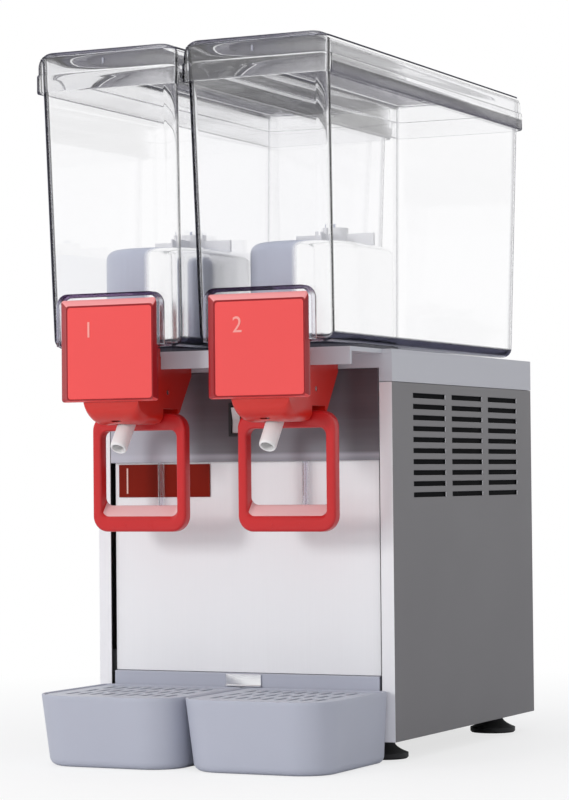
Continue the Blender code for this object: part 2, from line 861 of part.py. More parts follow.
def build_bowl(name, centre):
    opening = tower_outline(centre, -gasket_lip_thickness - run_gap)
    rings = [level(opening, bowl_bottom)]
    for step in range(fillet_steps + 1):
        angle = math.radians(90 * step / fillet_steps)
        z = bowl_bottom + bowl_fillet * (1 - math.cos(angle))
        rings.append(level(bowl_outline(centre, z, bowl_fillet * (1 - math.sin(angle))), z))
    rings.append(level(bowl_outline(centre, bowl_top), bowl_top))
    rings.append(level(bowl_outline(centre, bowl_top, bowl_wall), bowl_top))
    inner_fillet = bowl_fillet - bowl_wall
    inside = bowl_bottom + bowl_wall
    for step in range(fillet_steps + 1):
        angle = math.radians(90 * (1 - step / fillet_steps))
        z = inside + inner_fillet * (1 - math.cos(angle))
        rings.append(level(bowl_outline(centre, z, bowl_wall + inner_fillet * (1 - math.sin(angle))), z))
    rings.append(level(opening, inside))
    bowl = piece(f"bowl_{name}", loft_mesh(rings, closed=True), "clear_plastic")
    housing = rounded(
        centre - housing_half_width,
        centre + housing_half_width,
        bowl_bottom,
        housing_top,
        seat_gap,
        housing_radius,
    )
    back = bowl_bottom_front + bowl_wall / 2
    add(bowl, slab_mesh(housing, housing_front, back, "y"), "spout_housing")
    axis = [(centre, spout_y, z) for z in (bowl_bottom - spout_length, bowl_bottom + bowl_wall / 2)]
    add(bowl, rod_mesh(*axis, spout_radius), "spout")
    axis = [(centre, spout_y, z) for z in (bowl_bottom - spout_length - overrun, inside + overrun)]
    cut(bowl, rod_mesh(*axis, spout_bore), "spout_bore")


def build_lid(name, centre):
    clear = seat_gap + run_gap
    half = bowl_top_half + clear + lid_wall
    front, back = bowl_top_front - clear - lid_wall, bowl_top_back + clear + lid_wall
    front_radius, back_radius = bowl_front_radius + clear + lid_wall, bowl_back_radius + clear + lid_wall

    def outline(inset=0):
        return rounded(centre - half, centre + half, front, back, front_radius, back_radius, inset)

    top = lid_seat + lid_plate
    bottom = top - lid_skirt
    rings = [
        level(outline(lid_wall), lid_seat),
        level(outline(lid_wall), bottom),
        level(outline(-lid_rib), bottom),
        level(outline(-lid_rib), bottom + lid_rib_height - lid_rib),
        level(outline(), bottom + lid_rib_height),
    ]
    for step in range(fillet_steps + 1):
        angle = math.radians(90 * step / fillet_steps)
        z = top - lid_fillet * (1 - math.sin(angle))
        rings.append(level(outline(lid_fillet * (1 - math.cos(angle))), z))
    piece(f"lid_{name}", loft_mesh(rings), "clear_plastic")


# Tap of one side
def build_tap_body(name, centre):
    shoulder = deck_underside - seat_gap
    step_y = -tongue_reach - seat_gap
    crown = bowl_bottom - 2 * seat_gap
    outline = [
        (tap_front, tap_bottom + tap_edge),
        (tap_front + tap_edge, tap_bottom),
        (tap_heel_y, tap_bottom),
        (tap_knee_y, tap_knee_z),
        (tap_back_y, tap_back_z),
        (tap_back_y, shoulder),
        (step_y, shoulder),
        (step_y, crown),
        (tap_front, crown),
    ]
    low, high = centre - tap_half_width, centre + tap_half_width
    body = piece(f"tap_body_{name}", slab_mesh(outline, low, high, "x"), "red_plastic")
    axis = [(centre, spout_y, z) for z in (tap_bore_floor, crown + overrun)]
    cut(body, rod_mesh(*axis, tap_bore), "bore")
    channel_y = spout_y - tap_bore
    channel_low = (centre - tap_channel_half, channel_y - tap_channel_depth, tap_bottom + tap_edge)
    channel_high = (centre + tap_channel_half, channel_y + tap_channel_depth, piston_top - piston_groove_half)
    cut(body, box_mesh(channel_low, channel_high), "channel")
    top, tip = Vector((centre, nozzle_top_y, nozzle_top_z)), Vector((centre, nozzle_tip_y, nozzle_tip_z))
    way = (tip - top).normalized()
    cut(body, rod_mesh(top - way * seat_gap, tip, nozzle_radius + seat_gap), "nozzle_socket")
    window_low = (centre - lever_finger_half - run_gap, spout_y, tap_bore_floor + run_gap)
    window_high = (centre + lever_finger_half + run_gap, pivot_y, pivot_z + piston_groove_half)
    cut(body, box_mesh(window_low, window_high), "finger_window")
    slot_front = lever_front - tap_edge
    slot_back = lever_back + (pivot_z - lever_top) * math.sin(lever_swing) + 2 * tap_edge
    slot_top = pivot_z + lever_hub_radius + run_gap
    slot_low = (centre - lever_slot_half, slot_front, tap_bottom - overrun)
    cut(body, box_mesh(slot_low, (centre + lever_slot_half, slot_back, slot_top)), "lever_slot")
    notch_low = (low - overrun, slot_front - run_gap, tap_bottom - overrun)
    notch_top = lever_top + 2 * tap_edge
    cut(body, box_mesh(notch_low, (high + overrun, slot_back + run_gap, notch_top)), "lever_notch")
    ends = [(centre + reach, pivot_y, pivot_z) for reach in (-pin_half_length, tap_half_width + overrun)]
    cut(body, rod_mesh(*ends, pin_radius + seat_gap, fine_round_steps), "pin_hole")


def build_tap_cover(name, centre):
    rear = tap_front - seat_gap
    front = rear - cover_depth
    low_x, high_x = centre - cover_half_width, centre + cover_half_width

    def outline(side, bottom, top):
        return rounded(
            low_x + side, high_x - side, cover_bottom + bottom, cover_top - top, cover_corner, cover_corner
        )

    outer = outline(0, 0, 0)
    edge = front + cover_side_chamfer
    face = outline(cover_side_chamfer, cover_bottom_chamfer, cover_top_chamfer)
    hollow = outline(cover_wall, cover_wall, cover_wall)
    roof = outline(cover_side_chamfer + cover_wall, cover_bottom_chamfer + cover_wall, cover_top_chamfer + cover_wall)
    rings = [
        upright(roof, front + cover_wall),
        upright(hollow, edge + cover_wall / 2),
        upright(hollow, rear),
        upright(outer, rear),
        upright(outer, edge),
        upright(face, front),
    ]
    piece(f"tap_cover_{name}", loft_mesh(rings), "red_plastic")


def build_piston(name, centre):
    groove_top, groove_bottom = pivot_z + piston_groove_half, pivot_z - piston_groove_half
    levels = [
        (0, piston_top),
        (piston_radius - run_gap, piston_top),
        (piston_radius - run_gap, groove_top),
        (piston_core, groove_top),
        (piston_core, groove_bottom),
        (piston_radius - run_gap, groove_bottom),
        (piston_radius - run_gap, piston_top - piston_height),
        (0, piston_top - piston_height),
    ]
    profile = [(radius, z - piston_top) for radius, z in levels]
    turned(f"piston_{name}", profile, "white_plastic", (centre, spout_y, piston_top))


def build_nozzle(name, centre):
    top, tip = Vector((centre, nozzle_top_y, nozzle_top_z)), Vector((centre, nozzle_tip_y, nozzle_tip_z))
    length = (tip - top).length
    lean = math.atan2(top.y - tip.y, top.z - tip.z)
    profile = [(nozzle_bore, 0), (nozzle_radius, 0), (nozzle_radius, -length), (nozzle_bore, -length)]
    turned(f"nozzle_{name}", profile, "white_plastic", top, True, (-lean, 0, 0))


def build_lever(name, centre):
    outer = rounded(
        centre - lever_half_width, centre + lever_half_width, lever_bottom, lever_top, lever_corner, lever_corner
    )
    mesh = slab_mesh(outer, lever_front, lever_back, "y")
    lever = piece(f"lever_{name}", mesh, "red_plastic", (centre, pivot_y, pivot_z))
    shelf = lever_bottom + lever_bottom_bar
    slope = lever_shelf_rise / (lever_back - lever_front)
    window_top = lever_top - lever_top_bar
    front, back = lever_front - overrun, lever_back + overrun
    outline = [
        (front, shelf - slope * overrun),
        (back, shelf + slope * (back - lever_front)),
        (back, window_top),
        (front, window_top),
    ]
    inner = lever_half_width - lever_side_bar
    window = cut(lever, slab_mesh(outline, centre - inner, centre + inner, "x"), "window")
    soften(window, lever_corner / 2)
    web_half_depth = lever_hub_radius - run_gap
    web_low = (centre - lever_web_half, pivot_y - web_half_depth, lever_top - lever_top_bar / 2)
    web_high = (centre + lever_web_half, pivot_y + web_half_depth, pivot_z)
    add(lever, box_mesh(web_low, web_high), "web")
    ends = [(centre + reach, pivot_y, pivot_z) for reach in (-lever_hub_half, lever_hub_half)]
    add(lever, rod_mesh(*ends, lever_hub_radius), "hub")
    finger_low = (centre - lever_finger_half, lever_finger_tip_y, pivot_z - lever_finger_half_height)
    finger_high = (centre + lever_finger_half, pivot_y, pivot_z + lever_finger_half_height)
    add(lever, box_mesh(finger_low, finger_high), "finger")
    ends = [(centre + reach, pivot_y, pivot_z) for reach in (-2 * lever_hub_half, 2 * lever_hub_half)]
    cut(lever, rod_mesh(*ends, pin_radius + run_gap, fine_round_steps), "pin_bore")


def build_pin_and_spring(name, centre):
    ends = [
        (centre + reach, pivot_y, pivot_z) for reach in (seat_gap - pin_half_length, pin_half_length)
    ]
    piece(f"lever_pin_{name}", rod_mesh(*ends, pin_radius, fine_round_steps), "satin_steel")
    room = lever_slot_half - lever_hub_half - 2 * run_gap - 2 * spring_wire
    start = centre + lever_hub_half + run_gap + spring_wire
    count = spring_turns * spring_points_a_turn
    points = []
    for step in range(count + 1):
        angle = 2 * math.pi * step / spring_points_a_turn
        x = start + room * step / count
        points.append((x, pivot_y + spring_radius * math.sin(angle), pivot_z + spring_radius * math.cos(angle)))
    least = room / spring_turns - 2 * spring_wire
    print(f"lever_spring_{name}: least gap between turns {1000 * least:.2f} mm")
    tube(f"lever_spring_{name}", points, spring_wire, "satin_steel")


# Drip tray and grid of one side
def tray_ring(centre, z, inset=0):
    """The tray's outer outline at a height: it leans in towards its bottom, most at the front."""
    share = 1 - z / tray_height
    front = tray_front + share * tray_front_slope
    half = tray_half - share * tray_side_slope
    return rounded(centre - half, centre + half, front, tray_back, tray_front_radius, tray_back_radius, inset)


def build_tray(name, side):
    centre = side * tray_offset
    ledge_z = tray_height - tray_ledge_depth
    rings = [level(tray_ring(centre, tray_floor, tray_wall + tray_ledge), tray_floor)]
    rings.append(level(tray_ring(centre, ledge_z, tray_wall + tray_ledge), ledge_z))
    rings.append(level(tray_ring(centre, ledge_z, tray_wall), ledge_z))
    rings.append(level(tray_ring(centre, tray_height, tray_wall), tray_height))
    rings.append(level(tray_ring(centre, tray_height), tray_height))
    for step in range(fillet_steps + 1):
        angle = math.radians(90 * step / fillet_steps)
        z = tray_bottom_fillet * (1 - math.sin(angle))
        rings.append(level(tray_ring(centre, z, tray_bottom_fillet * (1 - math.cos(angle))), z))
    piece(f"drip_tray_{name}", loft_mesh(rings), "tray_plastic")

    low = ledge_z + seat_gap
    inset = tray_wall + run_gap
    mesh = slab_mesh(tray_ring(centre, ledge_z, inset), low, low + grid_thickness)
    grid = piece(f"drip_grid_{name}", mesh, "grid_plastic")
    slots = []
    for column in range(grid_columns):
        x = centre + (column - (grid_columns - 1) / 2) * grid_column_pitch
        for row in range(grid_rows):
            back = tray_back - grid_back_margin - row * grid_row_pitch
            slot_low = (x - grid_slot_width / 2, back - grid_slot_length, low - overrun)
            slots.append((slot_low, (x + grid_slot_width / 2, back, low + grid_thickness + overrun)))
    cut(grid, box_meshes(slots), "slots")


def build_tray_fittings():
    top = panel_bottom - seat_gap
    rail_low, rail_high = (-panel_half, rail_front, rail_bottom), (panel_half, panel_back, top)
    piece("tray_rail", box_mesh(rail_low, rail_high), "tray_plastic")
    back = rail_front - seat_gap
    outline = [
        (back, clip_bottom),
        (back, clip_top),
        (back - clip_thickness, clip_top),
        (back - clip_thickness, clip_bottom + clip_thickness),
        (-clip_reach, clip_bottom + clip_thickness),
        (-clip_reach, clip_bottom),
    ]
    piece("tray_clip", slab_mesh(outline, -clip_half_width, clip_half_width, "x"), "satin_steel")


def build_drain_tube(name, centre):
    top = fascia_bottom - seat_gap
    low = top - drain_length
    profile = [(drain_bore, top), (drain_radius, top), (drain_radius, low), (drain_bore, low)]
    turned(
        f"drain_tube_{name}", profile, "seal_rubber", (centre - drain_offset, drain_y, 0), True, steps=fine_round_steps
    )


# Cooling system and controls
def build_compressor():
    low, top = pan_inside, pan_inside + compressor_height
    profile = [(0, top)]
    for step in range(fillet_steps + 1):
        angle = math.radians(90 * step / fillet_steps)
        radius = compressor_radius - compressor_shoulder * (1 - math.sin(angle))
        profile.append((radius, top - compressor_shoulder * (1 - math.cos(angle))))
    profile += [
        (compressor_radius, low + compressor_flange_height),
        (compressor_flange, low + compressor_flange_height),
        (compressor_flange, low),
        (0, low),
    ]
    turned("compressor", profile, "black_enamel", (compressor_x, compressor_y, 0))


def build_condenser():
    """A comb in plan: one spine along the cabinet's side and fins that reach inwards from it."""
    spine = condenser_back_x - condenser_spine
    pitch = (condenser_back_y - condenser_front_y) / (2 * condenser_fins - 1)
    outline = [(condenser_back_x, condenser_back_y), (condenser_back_x, condenser_front_y)]
    for fin in range(condenser_fins):
        low = condenser_front_y + 2 * fin * pitch
        outline += [(condenser_face_x, low), (condenser_face_x, low + pitch)]
        if fin < condenser_fins - 1:
            outline += [(spine, low + pitch), (spine, low + 2 * pitch)]
    piece("condenser", slab_mesh(outline, pan_inside, condenser_top), "aluminium")


def build_fan():
    at = (fan_x, fan_y, fan_z)
    shaft_end = fan_x - fan_hub_length / 2 + fan_shaft_length
    motor_face = fan_x - fan_hub_length / 2 - run_gap
    motor_start = motor_face - fan_motor_length
    mesh = rod_mesh((motor_start, fan_y, fan_z), (motor_face, fan_y, fan_z), fan_motor_radius)
    motor = piece("fan_motor", mesh, "black_enamel")
    shaft = [(motor_face - run_gap, fan_y, fan_z), (shaft_end - run_gap, fan_y, fan_z)]
    add(motor, rod_mesh(*shaft, fan_shaft_radius, fine_round_steps), "shaft")
    post_low = (motor_start + fan_post_half, fan_y - fan_post_half, pan_inside)
    post_high = (motor_start + 2 * fan_post_half, fan_y + fan_post_half, fan_z)
    add(motor, box_mesh(post_low, post_high), "post")

    hub = [(fan_x + side * fan_hub_length / 2, fan_y, fan_z) for side in (-1, 1)]
    fan = piece("fan_blade", rod_mesh(*hub, fan_hub_radius), "black_plastic", at)
    middle = (fan_hub_radius / 2 + fan_radius) / 2
    size = (fan_blade_thickness, fan_blade_width, fan_radius - fan_hub_radius / 2)
    for blade in range(fan_blades):
        spin = Matrix.Rotation(2 * math.pi * blade / fan_blades, 4, "X")
        shape = bmesh.new()
        bmesh.ops.create_cube(shape, size=1, matrix=Matrix.Diagonal((*size, 1)))
        turn = Matrix.Translation((0, 0, middle)) @ Matrix.Rotation(fan_pitch, 4, "Z")
        shape.transform(Matrix.Translation(at) @ spin @ turn)
        add(fan, mesh_of(shape), f"blade_{blade + 1}")
    bore = [(fan_x - fan_hub_length, fan_y, fan_z), (shaft_end, fan_y, fan_z)]
    cut(fan, rod_mesh(*bore, fan_shaft_radius + run_gap, fine_round_steps), "bore")


def build_pipes():
    right, left = sides["right"], sides["left"]
    rise = deck_top + pipe_rise
    condenser_face = condenser_face_x - seat_gap - pipe_radius
    loop = [
        (condenser_face, condenser_front_y + pipe_spacing, condenser_top - pipe_rise),
        (condenser_face, condenser_front_y + pipe_spacing, pipe_run_z - pipe_spacing),
        (right + 2 * pipe_spacing, pipe_y + pipe_spacing, pipe_run_z),
        (right + pipe_spacing, pipe_y, pipe_run_z + pipe_spacing),
        (right + pipe_spacing, pipe_y, rise),
        (right, pipe_y, rise + pipe_spacing),
        (right - pipe_spacing, pipe_y, rise),
        (right - pipe_spacing, pipe_y, pipe_run_z + pipe_spacing),
        (right - 2 * pipe_spacing, pipe_y, pipe_run_z),
        (left + 2 * pipe_spacing, pipe_y, pipe_run_z),
        (left + pipe_spacing, pipe_y, pipe_run_z + pipe_spacing),
        (left + pipe_spacing, pipe_y, rise),
    ]
    tube("pipe_liquid", loop, pipe_radius, "copper")
    top = pan_inside + compressor_height
    terminal = compressor_radius - compressor_shoulder
    suction = [
        (left - pipe_spacing, pipe_y, rise),
        (left - pipe_spacing, pipe_y, pipe_run_z - 2 * pipe_spacing),
        (compressor_x, pipe_y + pipe_spacing, pipe_run_z - 4 * pipe_spacing),
        (compressor_x, compressor_y - terminal / 2, top + 4 * pipe_spacing),
        (compressor_x, compressor_y - terminal / 2, top + seat_gap),
    ]
    tube("pipe_suction", suction, pipe_radius, "copper")
    run = condenser_back_y - 3 * pipe_spacing
    discharge = [
        (compressor_x + terminal / 2, compressor_y, top + seat_gap),
        (compressor_x + terminal / 2, compressor_y, top + 2 * pipe_spacing),
        (compressor_x + terminal, run, top + 3 * pipe_spacing),
        (condenser_face - pipe_spacing, run, top + 3 * pipe_spacing),
        (condenser_face, run, top + 2 * pipe_spacing),
        (condenser_face, run, top),
    ]
    tube("pipe_discharge", discharge, pipe_radius, "copper")


def build_controls():
    back = rear_inner - seat_gap
    low, high = (control_left, back - control_depth, control_bottom), (control_right, back, control_top)
    box = piece("control_box", box_mesh(low, high), "black_plastic")
    reach = rear_face + seat_gap - knob_shaft_length
    hole = [(knob_x, reach - run_gap, knob_z), (knob_x, back + overrun, knob_z)]
    cut(box, rod_mesh(*hole, knob_shaft_radius + run_gap, fine_round_steps), "shaft_hole")

    face = rear_face + seat_gap
    profile = [
        (0, knob_length),
        (knob_radius * knob_grip_share, knob_length),
        (knob_radius, 0),
        (knob_shaft_radius, 0),
        (knob_shaft_radius, -knob_shaft_length),
        (0, -knob_shaft_length),
    ]
    at = (knob_x, face, knob_z)
    turned("thermostat_knob", profile, "black_plastic", at, turn=(-math.pi / 2, 0, 0))

    inner_end = -sheet - 2 * seat_gap
    profile = [
        (gland_bore, gland_length),
        (gland_nose_radius, gland_length),
        (gland_nose_radius, gland_flange * 2),
        (gland_flange_radius, gland_flange),
        (gland_flange_radius, 0),
        (gland_neck_radius, 0),
        (gland_neck_radius, inner_end),
        (gland_bore, inner_end),
    ]
    at = (gland_x, face, gland_z)
    turned("cable_gland", profile, "black_plastic", at, True, (-math.pi / 2, 0, 0))


build_base_pan()
build_side_panels()
build_rear_panel()
build_front_panel()
build_fascia()
build_switch()
build_deck()
build_feet()
build_tray_fittings()
build_compressor()
build_condenser()
build_fan()
build_pipes()
build_controls()
for side_name, side_x in sides.items():
    build_evaporator(side_name, side_x)
    build_gasket(side_name, side_x)
    build_drive(side_name, side_x)
    build_impeller(side_name, side_x)
    build_bowl(side_name, side_x)
    build_lid(side_name, side_x)
    build_tap_body(side_name, side_x)
    build_tap_cover(side_name, side_x)
    build_piston(side_name, side_x)
    build_nozzle(side_name, side_x)
    build_lever(side_name, side_x)
    build_pin_and_spring(side_name, side_x)
    build_tray(side_name, math.copysign(1, side_x))
    build_drain_tube(side_name, side_x)
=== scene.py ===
import json
import math

import bmesh
import bpy
import numpy as np
from mathutils import Matrix, Vector

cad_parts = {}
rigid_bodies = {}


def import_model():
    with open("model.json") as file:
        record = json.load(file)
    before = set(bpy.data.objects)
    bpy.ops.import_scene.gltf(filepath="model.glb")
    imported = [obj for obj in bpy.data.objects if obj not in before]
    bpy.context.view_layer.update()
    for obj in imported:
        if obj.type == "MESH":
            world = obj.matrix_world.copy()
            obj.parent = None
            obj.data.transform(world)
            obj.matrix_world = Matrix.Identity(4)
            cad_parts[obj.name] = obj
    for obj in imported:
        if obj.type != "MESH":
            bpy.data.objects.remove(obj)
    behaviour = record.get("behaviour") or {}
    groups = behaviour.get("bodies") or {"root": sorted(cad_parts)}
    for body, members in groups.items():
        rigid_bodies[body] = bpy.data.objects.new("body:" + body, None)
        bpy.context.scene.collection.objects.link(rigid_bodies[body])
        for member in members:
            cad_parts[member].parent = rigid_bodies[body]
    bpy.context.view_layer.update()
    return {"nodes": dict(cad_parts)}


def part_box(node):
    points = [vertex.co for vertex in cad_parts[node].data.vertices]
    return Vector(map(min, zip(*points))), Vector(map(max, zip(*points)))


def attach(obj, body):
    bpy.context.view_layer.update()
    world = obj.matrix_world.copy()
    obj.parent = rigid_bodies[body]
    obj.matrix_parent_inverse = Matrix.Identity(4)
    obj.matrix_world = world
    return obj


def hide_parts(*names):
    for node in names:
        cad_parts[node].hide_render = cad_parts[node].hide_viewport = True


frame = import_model()
sides = ("left", "right")
nearly = 1e-5  # metres, merges points that should be one
smoothUpTo = math.radians(32)  # faces that meet more sharply keep a crease

scene = bpy.context.scene
for obj in list(scene.objects):
    if obj.type in ("LIGHT", "CAMERA") or obj.name == "Cube":
        bpy.data.objects.remove(obj, do_unlink=True)

camera = {
    "place": (1.0065, -2.11055, 0.2299),
    "turn": 25.705,  # degrees round the object, from the front
    "rise": -1.590,
    "roll": -0.547,
    "lens": 123.17,  # mm on the 36 mm long side of the frame
}
studio = {
    "keyPlace": (-0.95, -2.10, 0.72), "keySize": 0.42, "keyPower": 17.0,
    "fillPlace": (1.9, -1.6, 1.1), "fillSize": 1.4, "fillPower": 4.0,
    "topPlace": (-0.1, -0.6, 2.2), "topSize": 1.2, "topPower": 10.0,
    "air": 0.55,  # the world's own light
    "floorSize": 9.0,
}


def placeCamera():
    a, e, r = (math.radians(camera[k]) for k in ("turn", "rise", "roll"))
    back = Vector((math.sin(a) * math.cos(e), -math.cos(a) * math.cos(e), math.sin(e)))
    right = Vector((math.cos(a), math.sin(a), 0))
    up = back.cross(right)
    right, up = right * math.cos(r) + up * math.sin(r), up * math.cos(r) - right * math.sin(r)
    data = bpy.data.cameras.new("camera")
    data.sensor_fit = "VERTICAL"
    data.sensor_height = 36
    data.lens = camera["lens"]
    data.clip_end = 50
    obj = bpy.data.objects.new("camera", data)
    scene.collection.objects.link(obj)
    turn = Matrix((right, up, back)).transposed().to_4x4()
    obj.matrix_world = Matrix.Translation(camera["place"]) @ turn
    scene.camera = obj


def softBox(name, place, size, power):
    data = bpy.data.lights.new(name, "AREA")
    data.shape = "SQUARE"
    data.size = size
    data.energy = power
    obj = bpy.data.objects.new(name, data)
    scene.collection.objects.link(obj)
    obj.location = place
    obj.visible_glossy = obj.visible_transmission = False  # no square lamp mirrored or seen in the bowls
    obj.rotation_euler = (Vector((0, 0, 0.3)) - Vector(place)).to_track_quat("-Z", "Y").to_euler()


def newFinish(name):
    mat = bpy.data.materials.new(name)
    mat.use_nodes = True
    return mat, mat.node_tree, mat.node_tree.nodes["Principled BSDF"]


# Gives each named or numbered socket what it needs: a link from another socket, or a plain value
def feed(tree, node, given):
    for label, value in given.items():
        if isinstance(value, bpy.types.NodeSocket):
            tree.links.new(value, node.inputs[label])
        elif value is not None:
            node.inputs[label].default_value = value


def made(tree, kind, given=None, **settings):
    node = tree.nodes.new("ShaderNode" + kind)
    for label, value in settings.items():
        setattr(node, label, value)
    feed(tree, node, given or {})
    return node


def mathNode(tree, operation, first, second=None):
    return made(tree, "Math", {0: first, 1: second}, operation=operation).outputs[0]


def colorMix(tree, share, first, second):
    return made(tree, "Mix", {0: share, 6: first, 7: second}, data_type="RGBA").outputs[2]


def shaderMix(tree, share, first, second):
    return made(tree, "MixShader", {0: share, 1: first.outputs[0], 2: second.outputs[0]}).outputs[0]


def objectPlace(tree):
    return made(tree, "TexCoord").outputs["Object"]


# White to the eye, to mirrors and to glass; to everything else only the studio's air
def whiteWorld():
    world = bpy.data.worlds.new("studio")
    scene.world = world
    world.use_nodes = True
    tree = world.node_tree
    tree.nodes.clear()
    air = made(tree, "Background", {"Color": (0.94, 0.96, 1, 1), "Strength": studio["air"]})
    white = made(tree, "Background", {"Color": (1, 1, 1, 1)})
    path = made(tree, "LightPath").outputs
    seen = mathNode(tree, "MAXIMUM", path["Is Camera Ray"], path["Is Transmission Ray"])
    seen = mathNode(tree, "MAXIMUM", seen, path["Is Glossy Ray"])
    made(tree, "OutputWorld", {"Surface": shaderMix(tree, seen, air, white)})


# The floor fades into the white background with distance and keeps the shadow near the feet
def paleFloor():
    mesh = bpy.data.meshes.new("floor")
    corners = studio["floorSize"] * np.array([(-1, -1, 0), (1, -1, 0), (1, 1, 0), (-1, 1, 0)], float)
    mesh.from_pydata(corners.tolist(), [], [(0, 1, 2, 3)])
    obj = bpy.data.objects.new("floor", mesh)
    scene.collection.objects.link(obj)
    mat, tree, shader = newFinish("floorWhite")
    feed(tree, shader, {"Base Color": (0.86, 0.86, 0.87, 1), "Roughness": 0.6})
    glow = made(tree, "Emission", {"Color": (1, 1, 1, 1)})
    far = made(tree, "VectorMath", {0: objectPlace(tree)}, operation="LENGTH")
    fade = made(tree, "MapRange", {"Value": far.outputs["Value"], "From Min": 0.25, "From Max": 0.9,
                                   "To Min": 0.72, "To Max": 1.0})
    path = made(tree, "LightPath").outputs
    seen = mathNode(tree, "MAXIMUM", path["Is Camera Ray"], path["Is Transmission Ray"])
    seen = mathNode(tree, "MULTIPLY", seen, fade.outputs["Result"])
    feed(tree, tree.nodes["Material Output"], {"Surface": shaderMix(tree, seen, shader, glow)})
    mesh.materials.append(mat)


placeCamera()
for name in ("key", "fill", "top"):
    softBox(name, studio[name + "Place"], studio[name + "Size"], studio[name + "Power"])
whiteWorld()
paleFloor()
scene.view_settings.view_transform = "Standard"
print("camera and lights are set")


# A node group; four numbers make a colour socket, three a vector and one a plain number
def newGroup(name, inputs, outputs):
    tree = bpy.data.node_groups.new(name, "ShaderNodeTree")
    for label, value in inputs.items():
        kind = {4: "Color", 3: "Vector", 1: "Float"}[np.size(value)]
        tree.interface.new_socket(label, in_out="INPUT", socket_type="NodeSocket" + kind).default_value = value
    for label in outputs:
        kind = "Color" if label == "Color" else "Float"
        tree.interface.new_socket(label, in_out="OUTPUT", socket_type="NodeSocket" + kind)
    return tree, tree.nodes.new("NodeGroupInput").outputs, tree.nodes.new("NodeGroupOutput")


def noiseNode(tree, vector, scale, detail=3.0, rough=0.55):
    return made(tree, "TexNoise", {"Vector": vector, "Scale": scale, "Detail": detail,
                                   "Roughness": rough}).outputs["Fac"]


# A group's colour made lighter or darker: its value is multiplied by one plus the shift
def toned(tree, color, shift):
    value = mathNode(tree, "ADD", shift, 1.0)
    return made(tree, "HueSaturation", {"Color": color, "Value": value}).outputs["Color"]


# Moulded grain: fine noise for height, slow noise for tone and gloss
def mouldGroup():
    tree, given, out = newGroup(
        "mouldedGrain", {"Color": (0.5, 0.5, 0.5, 1), "Variation": 0.06, "Roughness": 0.4, "Grain Scale": 900.0},
        ("Color", "Roughness", "Height"))
    place = objectPlace(tree)
    slow = mathNode(tree, "SUBTRACT", noiseNode(tree, place, 9.0), 0.5)
    shade = mathNode(tree, "MULTIPLY", mathNode(tree, "MULTIPLY", slow, given["Variation"]), 2.0)
    gloss = mathNode(tree, "ADD", given["Roughness"], mathNode(tree, "MULTIPLY", slow, 0.16))
    feed(tree, out, {"Color": toned(tree, given["Color"], shade), "Roughness": gloss,
                     "Height": noiseNode(tree, place, given["Grain Scale"], 2.0)})
    return tree


# Brushed sheet: noise stretched along one axis for height and gloss, with slow clouds from handling
def brushedGroup():
    tree, given, out = newGroup(
        "brushedSheet", {"Color": (0.6, 0.6, 0.6, 1), "Stretch": (8, 900, 900), "Roughness": 0.3, "Depth": 0.1},
        ("Color", "Roughness", "Height"))
    place = objectPlace(tree)
    long = made(tree, "VectorMath", {0: place, 1: given["Stretch"]}, operation="MULTIPLY")
    lines = noiseNode(tree, long.outputs[0], 1.0, 4.0, 0.6)
    streak = mathNode(tree, "MULTIPLY", mathNode(tree, "SUBTRACT", lines, 0.5), given["Depth"])
    clouds = mathNode(tree, "SUBTRACT", noiseNode(tree, place, 7.0, 3.0), 0.5)
    rough = mathNode(tree, "ADD", given["Roughness"], mathNode(tree, "MULTIPLY", clouds, 0.14))
    feed(tree, out, {"Color": toned(tree, given["Color"], streak), "Roughness": mathNode(tree, "ADD", rough, streak),
                     "Height": lines})
    return tree


# Dust and handling: pale dust gathers on faces that look up, in patches
def dustGroup():
    tree, given, out = newGroup(
        "settledDust", {"Color": (0.5, 0.5, 0.5, 1), "Dust": (0.6, 0.6, 0.58, 1), "Amount": 0.1}, ("Color",))
    split = made(tree, "SeparateXYZ", {0: made(tree, "NewGeometry").outputs["Normal"]})
    upward = mathNode(tree, "MAXIMUM", split.outputs["Z"], 0.0)
    patches = noiseNode(tree, objectPlace(tree), 26.0, 4.0)
    share = mathNode(tree, "MULTIPLY", mathNode(tree, "MULTIPLY", upward, patches), given["Amount"])
    feed(tree, out, {"Color": colorMix(tree, share, given["Color"], given["Dust"])})
    return tree


mouldedGrain = mouldGroup()
brushedSheet = brushedGroup()
settledDust = dustGroup()


def brushed(tree, **given):
    return made(tree, "Group", given, node_tree=brushedSheet)


# The last step of every opaque finish: colour, gloss and bump from its surface effect
def worn(tree, shader, skin, strength, distance, color=None, roughness=None):
    bump = made(tree, "Bump", {"Strength": strength, "Distance": distance, "Height": skin.outputs["Height"]})
    feed(tree, shader, {"Base Color": color or skin.outputs["Color"],
                        "Roughness": roughness or skin.outputs["Roughness"], "Normal": bump.outputs["Normal"]})


def plastic(name, color, roughness, variation=0.05, grain=900.0, bump=0.12, coat=0.0, dust=0.06, shine=0.5):
    mat, tree, shader = newFinish(name)
    skin = made(tree, "Group", {"Color": (*color, 1), "Variation": variation, "Roughness": roughness,
                                "Grain Scale": grain}, node_tree=mouldedGrain)
    dirt = made(tree, "Group", {"Color": skin.outputs["Color"], "Amount": dust}, node_tree=settledDust)
    worn(tree, shader, skin, bump, 0.0002, dirt.outputs["Color"])
    feed(tree, shader, {"Coat Weight": coat, "Coat Roughness": 0.15, "Specular IOR Level": shine})
    return mat


def metal(name, color, roughness, stretch, depth=0.1, bump=0.1, metallic=1.0):
    mat, tree, shader = newFinish(name)
    skin = brushed(tree, Color=(*color, 1), Stretch=stretch, Roughness=roughness, Depth=depth)
    worn(tree, shader, skin, bump, 0.0001)
    feed(tree, shader, {"Metallic": metallic})
    return mat


